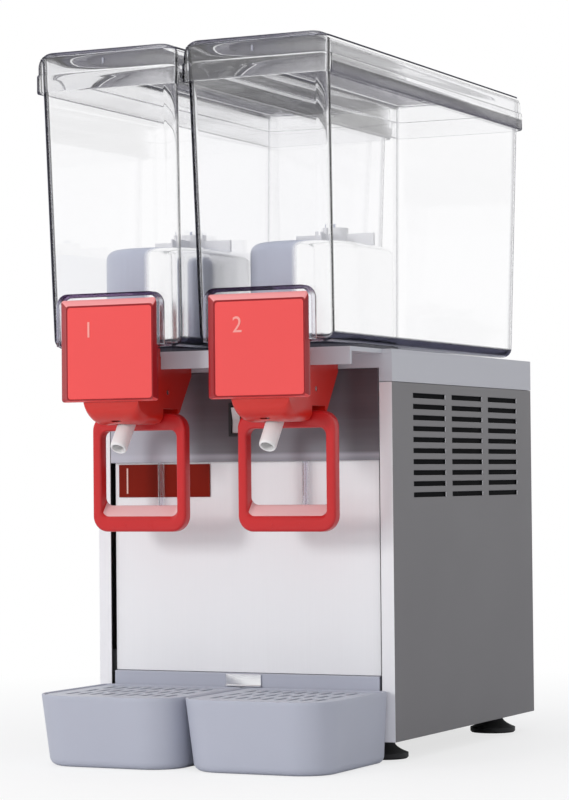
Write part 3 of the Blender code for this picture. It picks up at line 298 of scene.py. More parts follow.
# Clear plastic: places that carry the attribute "edge" darken as they turn away from the eye; the dark tint is partly
# the look of thick plastic and partly painted shade, the dark lines that light draws along corners and ribs
def clear(name, face, edge, roughness, start, end, through=0.9):
    mat, tree, shader = newFinish(name)
    look = made(tree, "LayerWeight", {"Blend": 0.5})
    turn = made(tree, "MapRange", {"Value": look.outputs["Facing"], "From Min": start, "From Max": end},
                interpolation_type="SMOOTHSTEP")
    thick = made(tree, "Attribute", attribute_name="edge")
    share = mathNode(tree, "MULTIPLY", turn.outputs["Result"], thick.outputs["Fac"])
    haze = mathNode(tree, "MULTIPLY", noiseNode(tree, objectPlace(tree), 14.0, 3.0), 2 * roughness)
    feed(tree, shader, {"Base Color": colorMix(tree, share, (*face, 1), (*edge, 1)), "Roughness": haze,
                        "Transmission Weight": 1.0, "IOR": 1.45})
    # marked edges seen edge on turn dark and swallow the mirrored white too: painted shade, partly the tint of thick
    # plastic
    paintedShadeDark = made(tree, "BsdfTransparent", {"Color": (*(8 * value for value in edge), 1)})
    body = made(tree, "MixShader", {0: mathNode(tree, "MULTIPLY", share, 0.9), 1: shader.outputs[0],
                                    2: paintedShadeDark.outputs[0]})
    # lamps and diffuse light pass almost unchanged, so that the bowls throw no black shadow
    pale = made(tree, "BsdfTransparent", {"Color": (through, through, through * 1.01, 1)})
    path = made(tree, "LightPath").outputs
    shadow = mathNode(tree, "MAXIMUM", path["Is Shadow Ray"], path["Is Diffuse Ray"])
    feed(tree, tree.nodes["Material Output"], {"Surface": shaderMix(tree, shadow, body, pale)})
    return mat


# A colour that changes along one axis of the object: each stop is (place in metres, colour)
def alongAxis(tree, axis, stops):
    split = made(tree, "SeparateXYZ", {0: objectPlace(tree)})
    first, last = stops[0][0], stops[-1][0]
    span = made(tree, "MapRange", {"Value": split.outputs[axis], "From Min": first, "From Max": last})
    ramp = made(tree, "ValToRGB", {"Fac": span.outputs["Result"]})
    ramp.color_ramp.interpolation = "EASE"
    elements = ramp.color_ramp.elements
    while len(elements) < len(stops):
        elements.new(0.5)
    for element, (place, color) in zip(elements, stops):
        element.position = (place - first) / (last - first)
        element.color = (*color, 1)
    return ramp.outputs["Color"]


# The fascia's sheet: painted shade darkens it under the deck, a painted highlight makes it paler towards its lip, and
# painted light makes its left end pale; the long streaks are its brushing
def fasciaSheetPaintedLight(name):
    mat, tree, shader = newFinish(name)
    # darker towards the top is painted shade under the deck; the pale band near the lip is a painted highlight
    down = alongAxis(tree, "Z", [
        (0.243, (0.25, 0.245, 0.27)), (0.2465, (0.34, 0.33, 0.37)), (0.250, (0.15, 0.14, 0.155)),
        (0.262, (0.125, 0.11, 0.122)), (0.285, (0.110, 0.092, 0.104)), (0.314, (0.085, 0.072, 0.082))])
    # a pale wash on the left end and a faint one right of the middle: painted light
    left = alongAxis(tree, "X", [(place, (grey,) * 3) for place, grey in (
        (-0.122, 1), (-0.066, 0.8), (-0.034, 0.10), (0.0, 0), (0.040, 0.25), (0.086, 0.22), (0.104, 0), (0.122, 0))])
    skin = brushed(tree, Color=down, Stretch=(5, 300, 300), Roughness=0.36, Depth=0.35)
    paintedLightLeft = made(tree, "SeparateColor", {0: left})
    share = mathNode(tree, "MULTIPLY", paintedLightLeft.outputs[0], 0.75)
    worn(tree, shader, skin, 0.05, 0.0001, colorMix(tree, share, skin.outputs["Color"], (0.60, 0.61, 0.68, 1)))
    feed(tree, shader, {"Metallic": 0.25})
    return mat


# The cooling tower: pale lavender steel whose right flank is painted white, a painted reflection, and is smoother and
# more metallic there
def towerSheetPaintedReflection(name):
    mat, tree, shader = newFinish(name)
    skin = brushed(tree, Color=(0.47, 0.495, 0.59, 1), Stretch=(260, 260, 5), Roughness=0.38, Depth=0.12)
    # the normal's x picks the right flank, which is painted white: a painted reflection
    split = made(tree, "SeparateXYZ", {0: made(tree, "NewGeometry").outputs["Normal"]})
    half = mathNode(tree, "MULTIPLY", mathNode(tree, "ADD", split.outputs["X"], 1.0), 0.5)
    ramp = made(tree, "ValToRGB", {"Fac": half})
    elements = ramp.color_ramp.elements
    elements[0].position, elements[0].color = 0.56, (0, 0, 0, 1)
    elements[1].position, elements[1].color = 0.62, (1, 1, 1, 1)
    paintedReflectionFlank = ramp.outputs["Color"]
    smooth = mathNode(tree, "SUBTRACT", skin.outputs["Roughness"], mathNode(tree, "MULTIPLY", paintedReflectionFlank, 0.22))
    worn(tree, shader, skin, 0.05, 0.0001, colorMix(tree, paintedReflectionFlank, skin.outputs["Color"], (1, 1, 1, 1)), smooth)
    feed(tree, shader, {"Metallic": mathNode(tree, "ADD", mathNode(tree, "MULTIPLY", paintedReflectionFlank, 0.75), 0.2)})
    return mat


finishes = {
    # the clear finishes' dark second colours are painted shade along their edges, partly the tint of thick plastic
    "bowlClear": clear("bowlClear", (0.99, 0.99, 0.995), (0.030, 0.030, 0.038), 0.004, 0.14, 0.50, 0.96),
    "lidClear": clear("lidClear", (0.99, 0.99, 0.996), (0.034, 0.033, 0.041), 0.004, 0.22, 0.60, 0.95),
    # the arch finish's greyer lavender face is painted shade
    "archClearPaintedShade": clear("archClearPaintedShade", (0.90, 0.90, 0.945), (0.030, 0.020, 0.035), 0.01, 0.04, 0.12, 0.94),
    # the cover's dark edge and pale top finishes are painted shade and a painted highlight
    "coverRed": plastic("coverRed", (0.83, 0.075, 0.072), 0.42, 0.04, 1500, 0.05, 0.12, 0.02),
    "coverPaintedShade": plastic("coverPaintedShade", (0.34, 0.008, 0.012), 0.36, 0.05, 1500, 0.05, 0.2, 0.0),
    "coverPaintedHighlight": plastic("coverPaintedHighlight", (0.85, 0.30, 0.30), 0.36, 0.04, 1500, 0.05, 0.2, 0.0),
    "tapRed": plastic("tapRed", (0.60, 0.014, 0.006), 0.36, 0.05, 1100, 0.06, 0.25, 0.02),
    "leverRed": plastic("leverRed", (0.56, 0.008, 0.010), 0.34, 0.05, 1100, 0.05, 0.15, 0.0),
    # the lever shelf's pale pink is a painted highlight
    "leverShelfPaintedHighlight": plastic("leverShelfPaintedHighlight", (0.86, 0.50, 0.50), 0.34, 0.05, 1100, 0.05, 0.4, 0.0),
    # the near-black sheet behind the louvres is painted shade
    "ventShade": plastic("ventShadeSheet", (0.006, 0.006, 0.007), 0.9, 0.3, 500, 0.5, 0.0, 0.0, 0.1),
    "drain": plastic("drainTube", (0.42, 0.42, 0.49), 0.4, 0.05, 900, 0.05),
    "white": plastic("nozzleWhite", (0.86, 0.85, 0.84), 0.36, 0.04, 1000, 0.06),
    "tray": plastic("trayGrey", (0.46, 0.475, 0.55), 0.46, 0.05, 1300, 0.10),
    "grid": plastic("gridGrey", (0.48, 0.50, 0.57), 0.44, 0.05, 1300, 0.10),
    "deck": plastic("deckGrey", (0.58, 0.58, 0.62), 0.48, 0.04, 1200, 0.10),
    "black": plastic("matBlack", (0.018, 0.018, 0.02), 0.5, 0.10, 900, 0.15),
    "rubber": plastic("footRubber", (0.014, 0.014, 0.016), 0.62, 0.2, 500, 0.25, 0, 0.12),
    "seal": plastic("sealGrey", (0.10, 0.10, 0.12), 0.55, 0.08, 700, 0.1),
    # the side and rear steel is painted dark: painted shade on a sheet whose front returns take the pale post steel
    "side": metal("sideSteelPaintedShade", (0.165, 0.158, 0.165), 0.42, (500, 6, 700), 0.06, 0.05, 0.15),
    "front": metal("frontSteel", (0.90, 0.895, 0.91), 0.38, (700, 700, 7), 0.05, 0.04, 0.2),
    "post": metal("postSteel", (0.88, 0.87, 0.89), 0.34, (700, 700, 7), 0.05, 0.04, 0.3),
    "fascia": fasciaSheetPaintedLight("fasciaSteelPaintedLight"),
    "inner": metal("innerZinc", (0.16, 0.165, 0.17), 0.5, (60, 60, 60), 0.2, 0.1, 0.8),
    "tower": towerSheetPaintedReflection("towerSteelPaintedReflection"),
    "clip": metal("clipSteel", (0.82, 0.82, 0.84), 0.22, (8, 600, 600), 0.06, 0.04),
    "plate": plastic("plateLacquer", (0.20, 0.010, 0.003), 0.5, 0.3, 300, 0.04, 0.0, 0.0, 0.15),
    "stripe": plastic("paleInk", (0.80, 0.55, 0.48), 0.5),
    "numeral": plastic("numeralInk", (0.90, 0.36, 0.32), 0.45),
    "copper": metal("copperTube", (0.72, 0.33, 0.2), 0.34, (90, 90, 90), 0.2, 0.08),
    "aluminium": metal("plainAluminium", (0.72, 0.73, 0.75), 0.38, (120, 120, 120), 0.15, 0.08),
    "enamel": plastic("blackEnamel", (0.016, 0.016, 0.018), 0.3, 0.1, 300, 0.2, 0.5, 0.2),
    "magnet": metal("sinteredMagnet", (0.08, 0.08, 0.09), 0.55, (300, 300, 300), 0.3, 0.1, 0.4),
}
print("finishes are mixed")


# A rounded rectangle for each row: every corner is its centre plus its radius times (cos, sin) of a quarter turn
def roundedRows(lowX, highX, lowY, highY, lowRadius, highRadius, steps=10):
    column = lambda value: np.asarray(value, float).reshape(-1, 1)
    lowX, highX, lowY, highY, lowRadius, highRadius = map(column, (lowX, highX, lowY, highY, lowRadius, highRadius))
    quarter = np.linspace(0, np.pi / 2, steps + 1)[None, :]
    across, along = [], []
    for x, y, outX, outY, radius, start in (
        (highX, lowY, 1, -1, lowRadius, -np.pi / 2), (highX, highY, 1, 1, highRadius, 0),
        (lowX, highY, -1, 1, highRadius, np.pi / 2), (lowX, lowY, -1, -1, lowRadius, np.pi),
    ):
        across.append(x - outX * radius + radius * np.cos(quarter + start))
        along.append(y - outY * radius + radius * np.sin(quarter + start))
    return np.concatenate(across, axis=1), np.concatenate(along, axis=1)


# Rows of rings stacked along an axis: points[row, column] = (across, along, height) in that axis's order
def stacked(across, along, height, axis="z"):
    height = np.broadcast_to(np.asarray(height, float).reshape(-1, 1), across.shape)
    order = {"z": (across, along, height), "y": (across, height, along), "x": (height, across, along)}[axis]
    return np.stack(np.broadcast_arrays(*order), axis=-1)


# Quads between neighbouring rows and columns of a grid of points, as index arithmetic
def gridFaces(rows, columns, loopRows, loopColumns):
    index = np.arange(rows * columns).reshape(rows, columns)
    right = np.roll(index, -1, axis=1)
    below, belowRight = np.roll(index, -1, axis=0), np.roll(right, -1, axis=0)
    quads = np.stack([index, right, belowRight, below], axis=-1)
    quads = quads if loopRows else quads[:-1]
    quads = quads if loopColumns else quads[:, :-1]
    return quads.reshape(-1, 4)


# A mesh from a grid of points; an open grid gets a flat cap at both ends
def surface(name, points, loopRows=False, loopColumns=True, caps=True, edge=None):
    rows, columns = points.shape[:2]
    faces = gridFaces(rows, columns, loopRows, loopColumns).tolist()
    if caps and not loopRows:
        faces.append(list(range(columns))[::-1])
        faces.append(list(range((rows - 1) * columns, rows * columns)))
    mesh = bpy.data.meshes.new(name)
    mesh.from_pydata(points.reshape(-1, 3).tolist(), [], faces)
    if edge is not None:
        layer = mesh.attributes.new("edge", "FLOAT", "POINT")
        layer.data.foreach_set("value", np.broadcast_to(edge, (rows, columns)).ravel().astype(np.float32))
    tidyMesh(mesh)
    return mesh


# How dark the clear plastic is painted at its edges, partly for thick plastic and partly as painted shade: a flattened
# half sine over each round corner, times that corner's weight, and the rows given, times a weight that runs round the
# ring. The corners go front right, back right, back left, front left.
def thickAndShadedShare(rowShare, steps, corners=(0.9, 0.45, 0.6, 1.0), aroundShare=(1, 1, 1, 1, 1, 1, 1, 1)):
    arc = np.sin(np.pi * np.linspace(0, 1, steps + 1)) ** 0.3
    cornerShare = np.concatenate([weight * arc for weight in corners])[None, :]
    ends = np.asarray(aroundShare, float).reshape(4, 2)
    blend = np.linspace(0, 1, steps + 1)
    rowWeight = np.concatenate([first + (last - first) * blend for first, last in ends])[None, :]
    rowShare = np.asarray(rowShare, float)[:, None] * rowWeight
    return 1 - (1 - rowShare) * (1 - cornerShare)


def tidyMesh(mesh):
    work = bmesh.new()
    work.from_mesh(mesh)
    bmesh.ops.remove_doubles(work, verts=work.verts, dist=nearly)
    bmesh.ops.recalc_face_normals(work, faces=work.faces)
    work.to_mesh(mesh)
    work.free()
    mesh.shade_smooth()
    mesh.set_sharp_from_angle(angle=smoothUpTo)


def joined(name, meshes):
    work = bmesh.new()
    for mesh in meshes:
        work.from_mesh(mesh)
    out = bpy.data.meshes.new(name)
    work.to_mesh(out)
    work.free()
    out.shade_smooth()
    out.set_sharp_from_angle(angle=smoothUpTo)
    return out


def carved(mesh, cutter, operation="DIFFERENCE"):
    body = bpy.data.objects.new("body", mesh)
    tool = bpy.data.objects.new("tool", cutter)
    for obj in (body, tool):
        scene.collection.objects.link(obj)
    step = body.modifiers.new("cut", "BOOLEAN")
    step.operation = operation
    step.object = tool
    bpy.context.view_layer.update()
    out = bpy.data.meshes.new_from_object(body.evaluated_get(bpy.context.evaluated_depsgraph_get()))
    for obj in (body, tool):
        bpy.data.objects.remove(obj)
    tidyMesh(out)
    return out


def show(name, mesh, finish, body, replaces=(), softEdge=0.0, segments=3):
    if not mesh.materials:
        mesh.materials.append(finishes[finish])
    obj = bpy.data.objects.new(name, mesh)
    scene.collection.objects.link(obj)
    if softEdge:
        edge = obj.modifiers.new("softEdge", "BEVEL")
        edge.width = softEdge
        edge.segments = segments
        edge.limit_method = "ANGLE"
        edge.angle_limit = math.radians(35)
        edge.harden_normals = True
    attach(obj, body)
    if replaces:
        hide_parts(*replaces)
    return obj


# Quarter turn used for every rounded edge: distances in from the side and down from the end
def edgeArc(radius, steps=5):
    turn = np.linspace(0, np.pi / 2, steps + 1)
    return radius * (1 - np.sin(turn)), radius * (1 - np.cos(turn))


# A block with round corners in plan and round edges at both ends
def block(name, low, high, corner, edge, axis="z", steps=6):
    order = {"z": (0, 1, 2), "y": (0, 2, 1), "x": (1, 2, 0)}[axis]
    (lowA, lowB, lowC), (highA, highB, highC) = ([v[i] for i in order] for v in (low, high))
    inset, drop = edgeArc(edge)
    inset = np.concatenate([inset, inset[::-1]])
    height = np.concatenate([lowC + drop, (highC - drop)[::-1]])
    radius = np.maximum(corner - inset, nearly)
    across, along = roundedRows(lowA + inset, highA - inset, lowB + inset, highB - inset, radius, radius, steps)
    return surface(name, stacked(across, along, height, axis))


# A turned shape: every (radius, height) of the profile swept round an axis through a point
def turned(name, centre, profile, columns=48, axis="z", loop=False):
    profile = np.asarray(profile, float)
    turn = np.linspace(0, 2 * np.pi, columns, endpoint=False)[None, :]
    radius, height = profile[:, :1], profile[:, 1]
    points = stacked(radius * np.cos(turn), radius * np.sin(turn), height, axis)
    return surface(name, points + np.asarray(centre, float), loopRows=loop)


# A flat prism: an outline in one plane carried straight along the axis
def prism(name, outline, low, high, axis="z"):
    outline = np.asarray(outline, float)
    across = np.repeat(outline[None, :, 0], 2, axis=0)
    along = np.repeat(outline[None, :, 1], 2, axis=0)
    return surface(name, stacked(across, along, (low, high), axis))


# Stadium-ended slots as one mesh: the same outline moved to every centre
def slots(name, centres, halfLong, halfShort, low, high, axis, upright=False):
    turn = np.linspace(-np.pi / 2, np.pi / 2, 9)
    reach = halfLong - halfShort
    long = np.concatenate([reach + halfShort * np.cos(turn), -reach - halfShort * np.cos(turn)])
    short = np.concatenate([halfShort * np.sin(turn), -halfShort * np.sin(turn)])
    outline = np.stack([short, long] if upright else [long, short], axis=-1)
    meshes = [prism(name, outline + centre, low, high, axis) for centre in np.asarray(centres, float)]
    return joined(name, meshes)


def boxOf(node):
    low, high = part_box(node)
    return np.array(low, float), np.array(high, float)


def mergedCopy(node):
    work = bmesh.new()
    work.from_mesh(frame["nodes"][node].data)
    bmesh.ops.remove_doubles(work, verts=work.verts, dist=nearly)
    bmesh.ops.dissolve_limit(work, angle_limit=math.radians(1), verts=work.verts, edges=work.edges)
    mesh = bpy.data.meshes.new(node + "Shell")
    work.to_mesh(mesh)
    work.free()
    mesh.materials.clear()
    return mesh


def faceFacts(mesh):
    normals, centres = np.empty(3 * len(mesh.polygons)), np.empty(3 * len(mesh.polygons))
    mesh.polygons.foreach_get("normal", normals)
    mesh.polygons.foreach_get("center", centres)
    return normals.reshape(-1, 3), centres.reshape(-1, 3)


def softCopy(node, finish, body, slot, softEdge, faceFinish=None):
    mesh = mergedCopy(node)
    mesh.materials.append(finishes[finish])
    if faceFinish:
        mesh.materials.append(finishes[faceFinish])
        # faces that look forward take the second finish; on the side panels the pale front returns and the dark rest
        # of one sheet are painted light and painted shade
        normals, _ = faceFacts(mesh)
        mesh.polygons.foreach_set("material_index", (normals[:, 1] < -0.9).astype(np.int32))
    mesh.shade_smooth()
    mesh.set_sharp_from_angle(angle=smoothUpTo)
    return show(node + "Shell", mesh, finish, body, (node,), softEdge, 2)


def dress(node, finish):
    obj = frame["nodes"][node]
    obj.data.materials.clear()
    obj.data.materials.append(finishes[finish])


tower = {"fillet": 0.008, "wall": 0.0012, "radius": 0.0432, "topDrop": 0.0200, "spindle": 0.003, "steps": 20}
bowl = {
    "tall": 0.2362, "wall": 0.0028, "frontRadius": 0.0090, "backRadius": 0.0110, "fillet": 0.008,
    "rimDrop": 0.004, "openingGap": 0.0024, "leastRadius": 0.002,
    "taper": {"side": 0.0032, "front": 0.0115, "back": 0.0140},  # how much it narrows from top to bottom
    "cornerSteps": 14,
    "archHalf": 0.0472, "archTop": 0.3775, "archRadius": 0.010, "archBar": 0.0028, "archDepth": 0.0090,
    "spout": 0.0088, "spoutBore": 0.0072, "spoutEdge": 0.0006,
}


# The walls narrow evenly: at each height, every side moves in by its taper times (1 - share of the height)
def bowlRows(node, height, inset):
    low, high = boxOf(node)
    bottom = high[2] - bowl["tall"]
    narrow = 1 - (height - bottom) / (high[2] - bottom)
    side, front, back = (narrow * bowl["taper"][key] + inset for key in ("side", "front", "back"))
    return roundedRows(low[0] + side, high[0] - side, low[1] + front, high[1] - back,
                       np.maximum(bowl["frontRadius"] - inset, bowl["leastRadius"]),
                       np.maximum(bowl["backRadius"] - inset, bowl["leastRadius"]), bowl["cornerSteps"])


def makeBowl(side):
    node = f"bowl_{side}"
    low, high = boxOf(node)
    top, bottom = high[2], high[2] - bowl["tall"]
    wall, fillet, steps = bowl["wall"], bowl["fillet"], bowl["cornerSteps"]
    tLow, tHigh = boxOf(f"evaporator_{side}")
    gap = bowl["openingGap"]
    hole = roundedRows(tLow[0] - gap, tHigh[0] + gap, tLow[1] - gap, tHigh[1] + gap,
                       tower["radius"] + gap, tower["radius"] + gap, steps)
    # rows climb the outside, turn over the rim and come down the inside
    outIn, outDrop = edgeArc(fillet, 7)
    inIn, inDrop = edgeArc(fillet - wall, 7)
    climb = np.linspace(bottom + fillet, top - bowl["rimDrop"], 14)
    height = np.concatenate([bottom + outDrop, climb[1:], [top, top], climb[::-1], (bottom + wall + inDrop)[::-1][1:]])
    inset = np.concatenate([outIn, np.zeros(len(climb)), np.full(len(climb) + 1, wall), wall + inIn[::-1][1:]])
    across, along = bowlRows(node, height, inset)
    across = np.concatenate([hole[0], across, hole[0]])
    along = np.concatenate([hole[1], along, hole[1]])
    height = np.concatenate([[bottom], height, [bottom + wall]])
    # rows round the foot and the rim get the dark edge tint: partly thick plastic, partly painted shade
    rounded = (height > bottom + wall / 2) & (height < bottom + fillet * 0.8)
    rounded |= np.abs(height - top) < bowl["rimDrop"] / 2
    rounded[-2:] = False  # the flat floor stays clear
    mesh = surface(node, stacked(across, along, height), loopRows=True, edge=thickAndShadedShare(rounded, steps))

    middle = (low[0] + high[0]) / 2
    pistonLow, pistonHigh = boxOf(f"piston_{side}")
    inside, spoutEdge = bottom + wall + 0.001, bowl["spoutEdge"]
    spout = turned("spout", (middle, (pistonLow[1] + pistonHigh[1]) / 2, 0), [
        (bowl["spout"], bottom + wall / 2), (bowl["spout"], low[2] + 0.001), (bowl["spout"] - spoutEdge, low[2]),
        (bowl["spoutBore"], low[2]), (bowl["spoutBore"], inside), (bowl["spout"] - spoutEdge, inside)], 40, loop=True)

    # the arch: a flat bar carried round the tap cover's top and sides
    half, bar = bowl["archHalf"], bowl["archBar"]
    root = low[1] + bowl["taper"]["front"] * 0.8 + wall / 2
    outer = archPath(middle, half, bottom + 0.001, bowl["archTop"], bowl["archRadius"])
    inner = archPath(middle, half - bar, bottom + 0.001, bowl["archTop"] - bar, bowl["archRadius"] - bar)
    tip = root - bowl["archDepth"]
    ring = np.stack([np.insert(path, 1, y, axis=1) for path, y in
                     ((outer, root), (outer, tip), (inner, tip), (inner, root))], axis=1)
    # the crown's dark edge tint and the arch finish's greyer lavender face are painted shade
    crown = np.clip((outer[:, 1] - bowl["archTop"] + bowl["archRadius"] * 0.7) / (bowl["archRadius"] * 0.6), 0, 1)
    arch = surface("arch", ring, edge=crown[:, None])
    show(f"spoutArch_{side}", arch, "archClearPaintedShade", node, (), 0.0006, 2)
    show(f"spout_{side}", spout, "bowlClear", node)
    show(f"bowlShell_{side}", mesh, "bowlClear", node, (node,))


# Up one side, round two quarter turns and down the other
def archPath(middle, half, low, top, radius):
    turn = np.linspace(0, np.pi / 2, 9)
    right = np.stack([middle + half - radius + radius * np.cos(turn), top - radius + radius * np.sin(turn)], -1)
    left = right[::-1] * (-1, 1) + (2 * middle, 0)
    return np.concatenate([[(middle + half, low)], right, left, [(middle - half, low)]])


lid = {
    "wall": 0.0016, "plate": 0.0025, "fillet": 0.0115, "frontShare": 0.35, "rib": 0.0013, "ribTall": 0.0150,
    "ribEdge": 0.0010, "ribShadeTop": 0.0085, "crownShadeDepth": 0.0030,
    "frontRadius": 0.0105, "backRadius": 0.0125, "leastRadius": 0.002, "cornerSteps": 14,
    "tick": (0.0012, 0.0006, 0.0045), "tickDrop": 0.0125,
}


def makeLid(side):
    node = f"lid_{side}"
    low, high = boxOf(node)
    rib, wall, top, bottom = lid["rib"], lid["wall"], high[2], low[2]
    inset, drop = edgeArc(lid["fillet"], 8)
    edge, ribTop, ribShadeTop = lid["ribEdge"], bottom + lid["ribTall"], bottom + lid["ribShadeTop"]
    # from the inside of the top, down the inside, round the rib's foot, up the outside and over the top
    rows = [(rib + wall + 0.004, top - lid["plate"]), (rib + wall, top - lid["plate"] - 0.002),
            (rib + wall, bottom + 0.0004), (rib + wall - 0.0003, bottom), (edge / 2, bottom), (0, bottom + edge),
            (0, ribShadeTop), (0, ribShadeTop + 0.0012), (0, ribTop - edge), (edge / 2, ribTop - 0.0002),
            (rib * 0.9, ribTop + 0.0002), (rib, ribTop + edge), (rib, ribTop + 0.004)]
    inner, height = np.array(rows).T
    inner = np.concatenate([inner, rib + inset[::-1]])
    height = np.concatenate([height, top - drop[::-1]])
    row, steps = np.arange(len(inner)), lid["cornerSteps"]
    over = np.maximum(inner - rib, 0) * (row > 11)
    ends = inner - over * (1 - lid["frontShare"])  # the front and back turn over more tightly than the sides
    across, along = roundedRows(low[0] + inner, high[0] - inner, low[1] + ends, high[1] - ends,
                                np.maximum(lid["frontRadius"] - ends, lid["leastRadius"]),
                                np.maximum(lid["backRadius"] - ends, lid["leastRadius"]), steps)
    # the dark bands on the crown and round the rib's foot are painted shade, partly the tint of thick plastic
    crown = (height > top - lid["crownShadeDepth"]) & (row > 11) & (row < len(row) - 1)
    ribs = np.where((row > 2) & (row < 7), 0.62, 0.0) + np.where(row == 9, 0.5, 0.0)
    crowns = thickAndShadedShare(crown, steps, (0.30, 0.12, 0.3, 0.9), (1, 0.30, 0.15, 0.15, 0.2, 0.4, 1, 1))
    ribs = thickAndShadedShare(ribs, steps, (0, 0, 0, 0), (0.1, 1, 1, 0.5, 0.3, 0.5, 0.6, 0.1))
    shell = surface(node, stacked(across, along, height), edge=np.maximum(crowns, ribs))
    wide, thick, tall = lid["tick"]
    middle = (low[0] + high[0]) / 2
    foot = top - lid["tickDrop"]
    nib = block("nib", (middle - wide / 2, low[1] + rib - thick, foot),
                (middle + wide / 2, low[1] + rib + thick, foot + tall), 0.0003, 0.0002, "y", 2)
    show(f"lidNib_{side}", nib, "drain", node)
    show(f"lidShell_{side}", shell, "lidClear", node, (node,))


# The tower's shell: up the inside, round the foot and up the outside to a rounded shoulder, with its spindle on top
def makeTower(side):
    node = f"evaporator_{side}"
    low, high = boxOf(node)
    top = high[2] - tower["topDrop"]
    inset, drop = edgeArc(tower["fillet"], 8)
    wall = tower["wall"]
    inner = np.concatenate([[tower["fillet"], wall, wall, 0, 0], inset[::-1]])
    height = np.concatenate([[top - wall, top - tower["fillet"], low[2], low[2], top - 2 * tower["fillet"]],
                             (top - drop)[::-1]])
    across, along = roundedRows(low[0] + inner, high[0] - inner, low[1] + inner, high[1] - inner,
                                tower["radius"] - inner, tower["radius"] - inner, tower["steps"])
    shell = surface(node, stacked(across, along, height))
    magnetLow, magnetHigh = boxOf(f"drive_magnet_{side}")
    axis = ((magnetLow[0] + magnetHigh[0]) / 2, (magnetLow[1] + magnetHigh[1]) / 2, 0)
    spindle = turned("spindle", axis, [(1e-6, top - wall / 2), (tower["spindle"], top - wall / 2),
                                       (tower["spindle"], high[2] - 0.0006), (tower["spindle"] - 0.0006, high[2]),
                                       (1e-6, high[2])], 28)
    show(f"towerShell_{side}", joined(node, [shell, spindle]), "tower", "cabinet", (node,))


for side in sides:
    makeBowl(side)
    makeLid(side)
    makeTower(side)
print("bowls and lids are blown")


cover = {
    "chamfer": 0.0040, "leftCut": 0.0070, "rightCut": 0.0014, "topCut": 0.0052, "bottomCut": 0.0012,
    "corner": 0.0024, "wall": 0.0018, "groove": 0.0008,
    "numeralSize": 0.018, "numeralIn": (0.0275, 0.0250), "numeralThick": 0.00025,
}
tap = {"nose": 0.0220, "noseRise": 0.0140, "corner": 0.0095, "softEdge": 0.0008, "spare": 0.0004}
lever = {
    "front": -0.0555, "pivot": (-0.0495, 0.2985), "ringTop": 0.2813,  # y from the front panel's plane, then z
    "edge": 0.0024, "outerRadius": 0.0130, "innerRadius": 0.0060, "depth": 0.0108, "sideBar": 0.0080,
    "topBar": 0.0135, "bottomBar": 0.0096, "shelfRise": 0.0130, "webHalf": 0.0104, "hub": (0.0048, 0.011),
    "tickSize": (0.0011, 0.0006, 0.0040), "tickOut": 0.012, "tickUp": 0.0028,
}
nozzle = {"top": (-0.0711, 0.2762), "tip": (-0.0882, 0.2528), "bore": 0.0052, "radius": 0.0070}


def frontPlane():
    return boxOf("front_panel")[0][1] - 0.0045


def makeCover(side, numeral):
    node = f"tap_cover_{side}"
    low, high = boxOf(node)
    wall, chamfer, groove = cover["wall"], cover["chamfer"], cover["groove"]
    edgeY = low[1] + chamfer
    # from the hollow's roof back to the rim, forward along the outside, over the chamfer and into the face's groove
    inner = np.array([wall * 1.8, wall, wall, 0, 0, chamfer * 0.08, chamfer * 0.5, chamfer * 0.92, chamfer,
                      chamfer + groove * 0.4, chamfer + groove, chamfer + groove * 1.4])
    y = np.array([low[1] + wall * 1.6, edgeY + wall / 2, high[1], high[1], edgeY + 0.0002, edgeY - 0.0003,
                  edgeY - chamfer * 0.45, edgeY - chamfer * 0.9, low[1], low[1] + groove * 0.6, low[1] + groove * 0.6,
                  low[1]])
    outside = (np.arange(len(y)) > 3) & (inner <= chamfer)

    # each side's chamfer has its own width, so the distance in is scaled over the chamfer and shifted past it
    def sideInset(cut):
        return np.where(inner > chamfer, cut + inner - chamfer, np.where(outside, inner * cut / chamfer, inner))

    corner = np.full(len(y), cover["corner"])
    across, along = roundedRows(low[0] + sideInset(cover["leftCut"]), high[0] - sideInset(cover["rightCut"]),
                                low[2] + sideInset(cover["bottomCut"]), high[2] - sideInset(cover["topCut"]),
                                corner, corner, 5)
    mesh = surface(node, stacked(across, along, y, "y"))
    for finish in ("coverRed", "coverPaintedShade", "coverPaintedHighlight"):
        mesh.materials.append(finishes[finish])
    # chamfers and sides facing left and right and the groove round the face are painted dark red, painted shade; faces
    # that look up are painted pale pink, a painted highlight
    normals, centres = faceFacts(mesh)
    inGroove = (centres[:, 1] > low[1] + groove * 0.1) & (centres[:, 1] < low[1] + groove * 0.7)
    paintedShadeDark = (normals[:, 0] < -0.25) | (normals[:, 0] > 0.9) | inGroove
    pale = (normals[:, 2] > 0.25) & ~inGroove
    mesh.polygons.foreach_set("material_index", np.where(pale, 2, np.where(paintedShadeDark, 1, 0)).astype(np.int32))
    show(f"coverShell_{side}", mesh, "coverRed", "cabinet", (node,))

    curve = bpy.data.curves.new("numeral", "FONT")
    curve.body = numeral
    curve.size = cover["numeralSize"]
    curve.extrude = cover["numeralThick"]
    curve.align_x = "CENTER"
    curve.align_y = "CENTER"
    temp = bpy.data.objects.new("numeral", curve)
    scene.collection.objects.link(temp)
    bpy.context.view_layer.update()
    mesh = bpy.data.meshes.new_from_object(temp.evaluated_get(bpy.context.evaluated_depsgraph_get()))
    bpy.data.objects.remove(temp)
    place = (low[0] + cover["numeralIn"][0], low[1] - cover["numeralThick"] * 0.2, high[2] - cover["numeralIn"][1])
    mesh.transform(Matrix.Translation(place) @ Matrix.Rotation(math.pi / 2, 4, "X"))
    mesh.materials.clear()
    show(f"coverNumeral_{side}", mesh, "numeral", "cabinet")


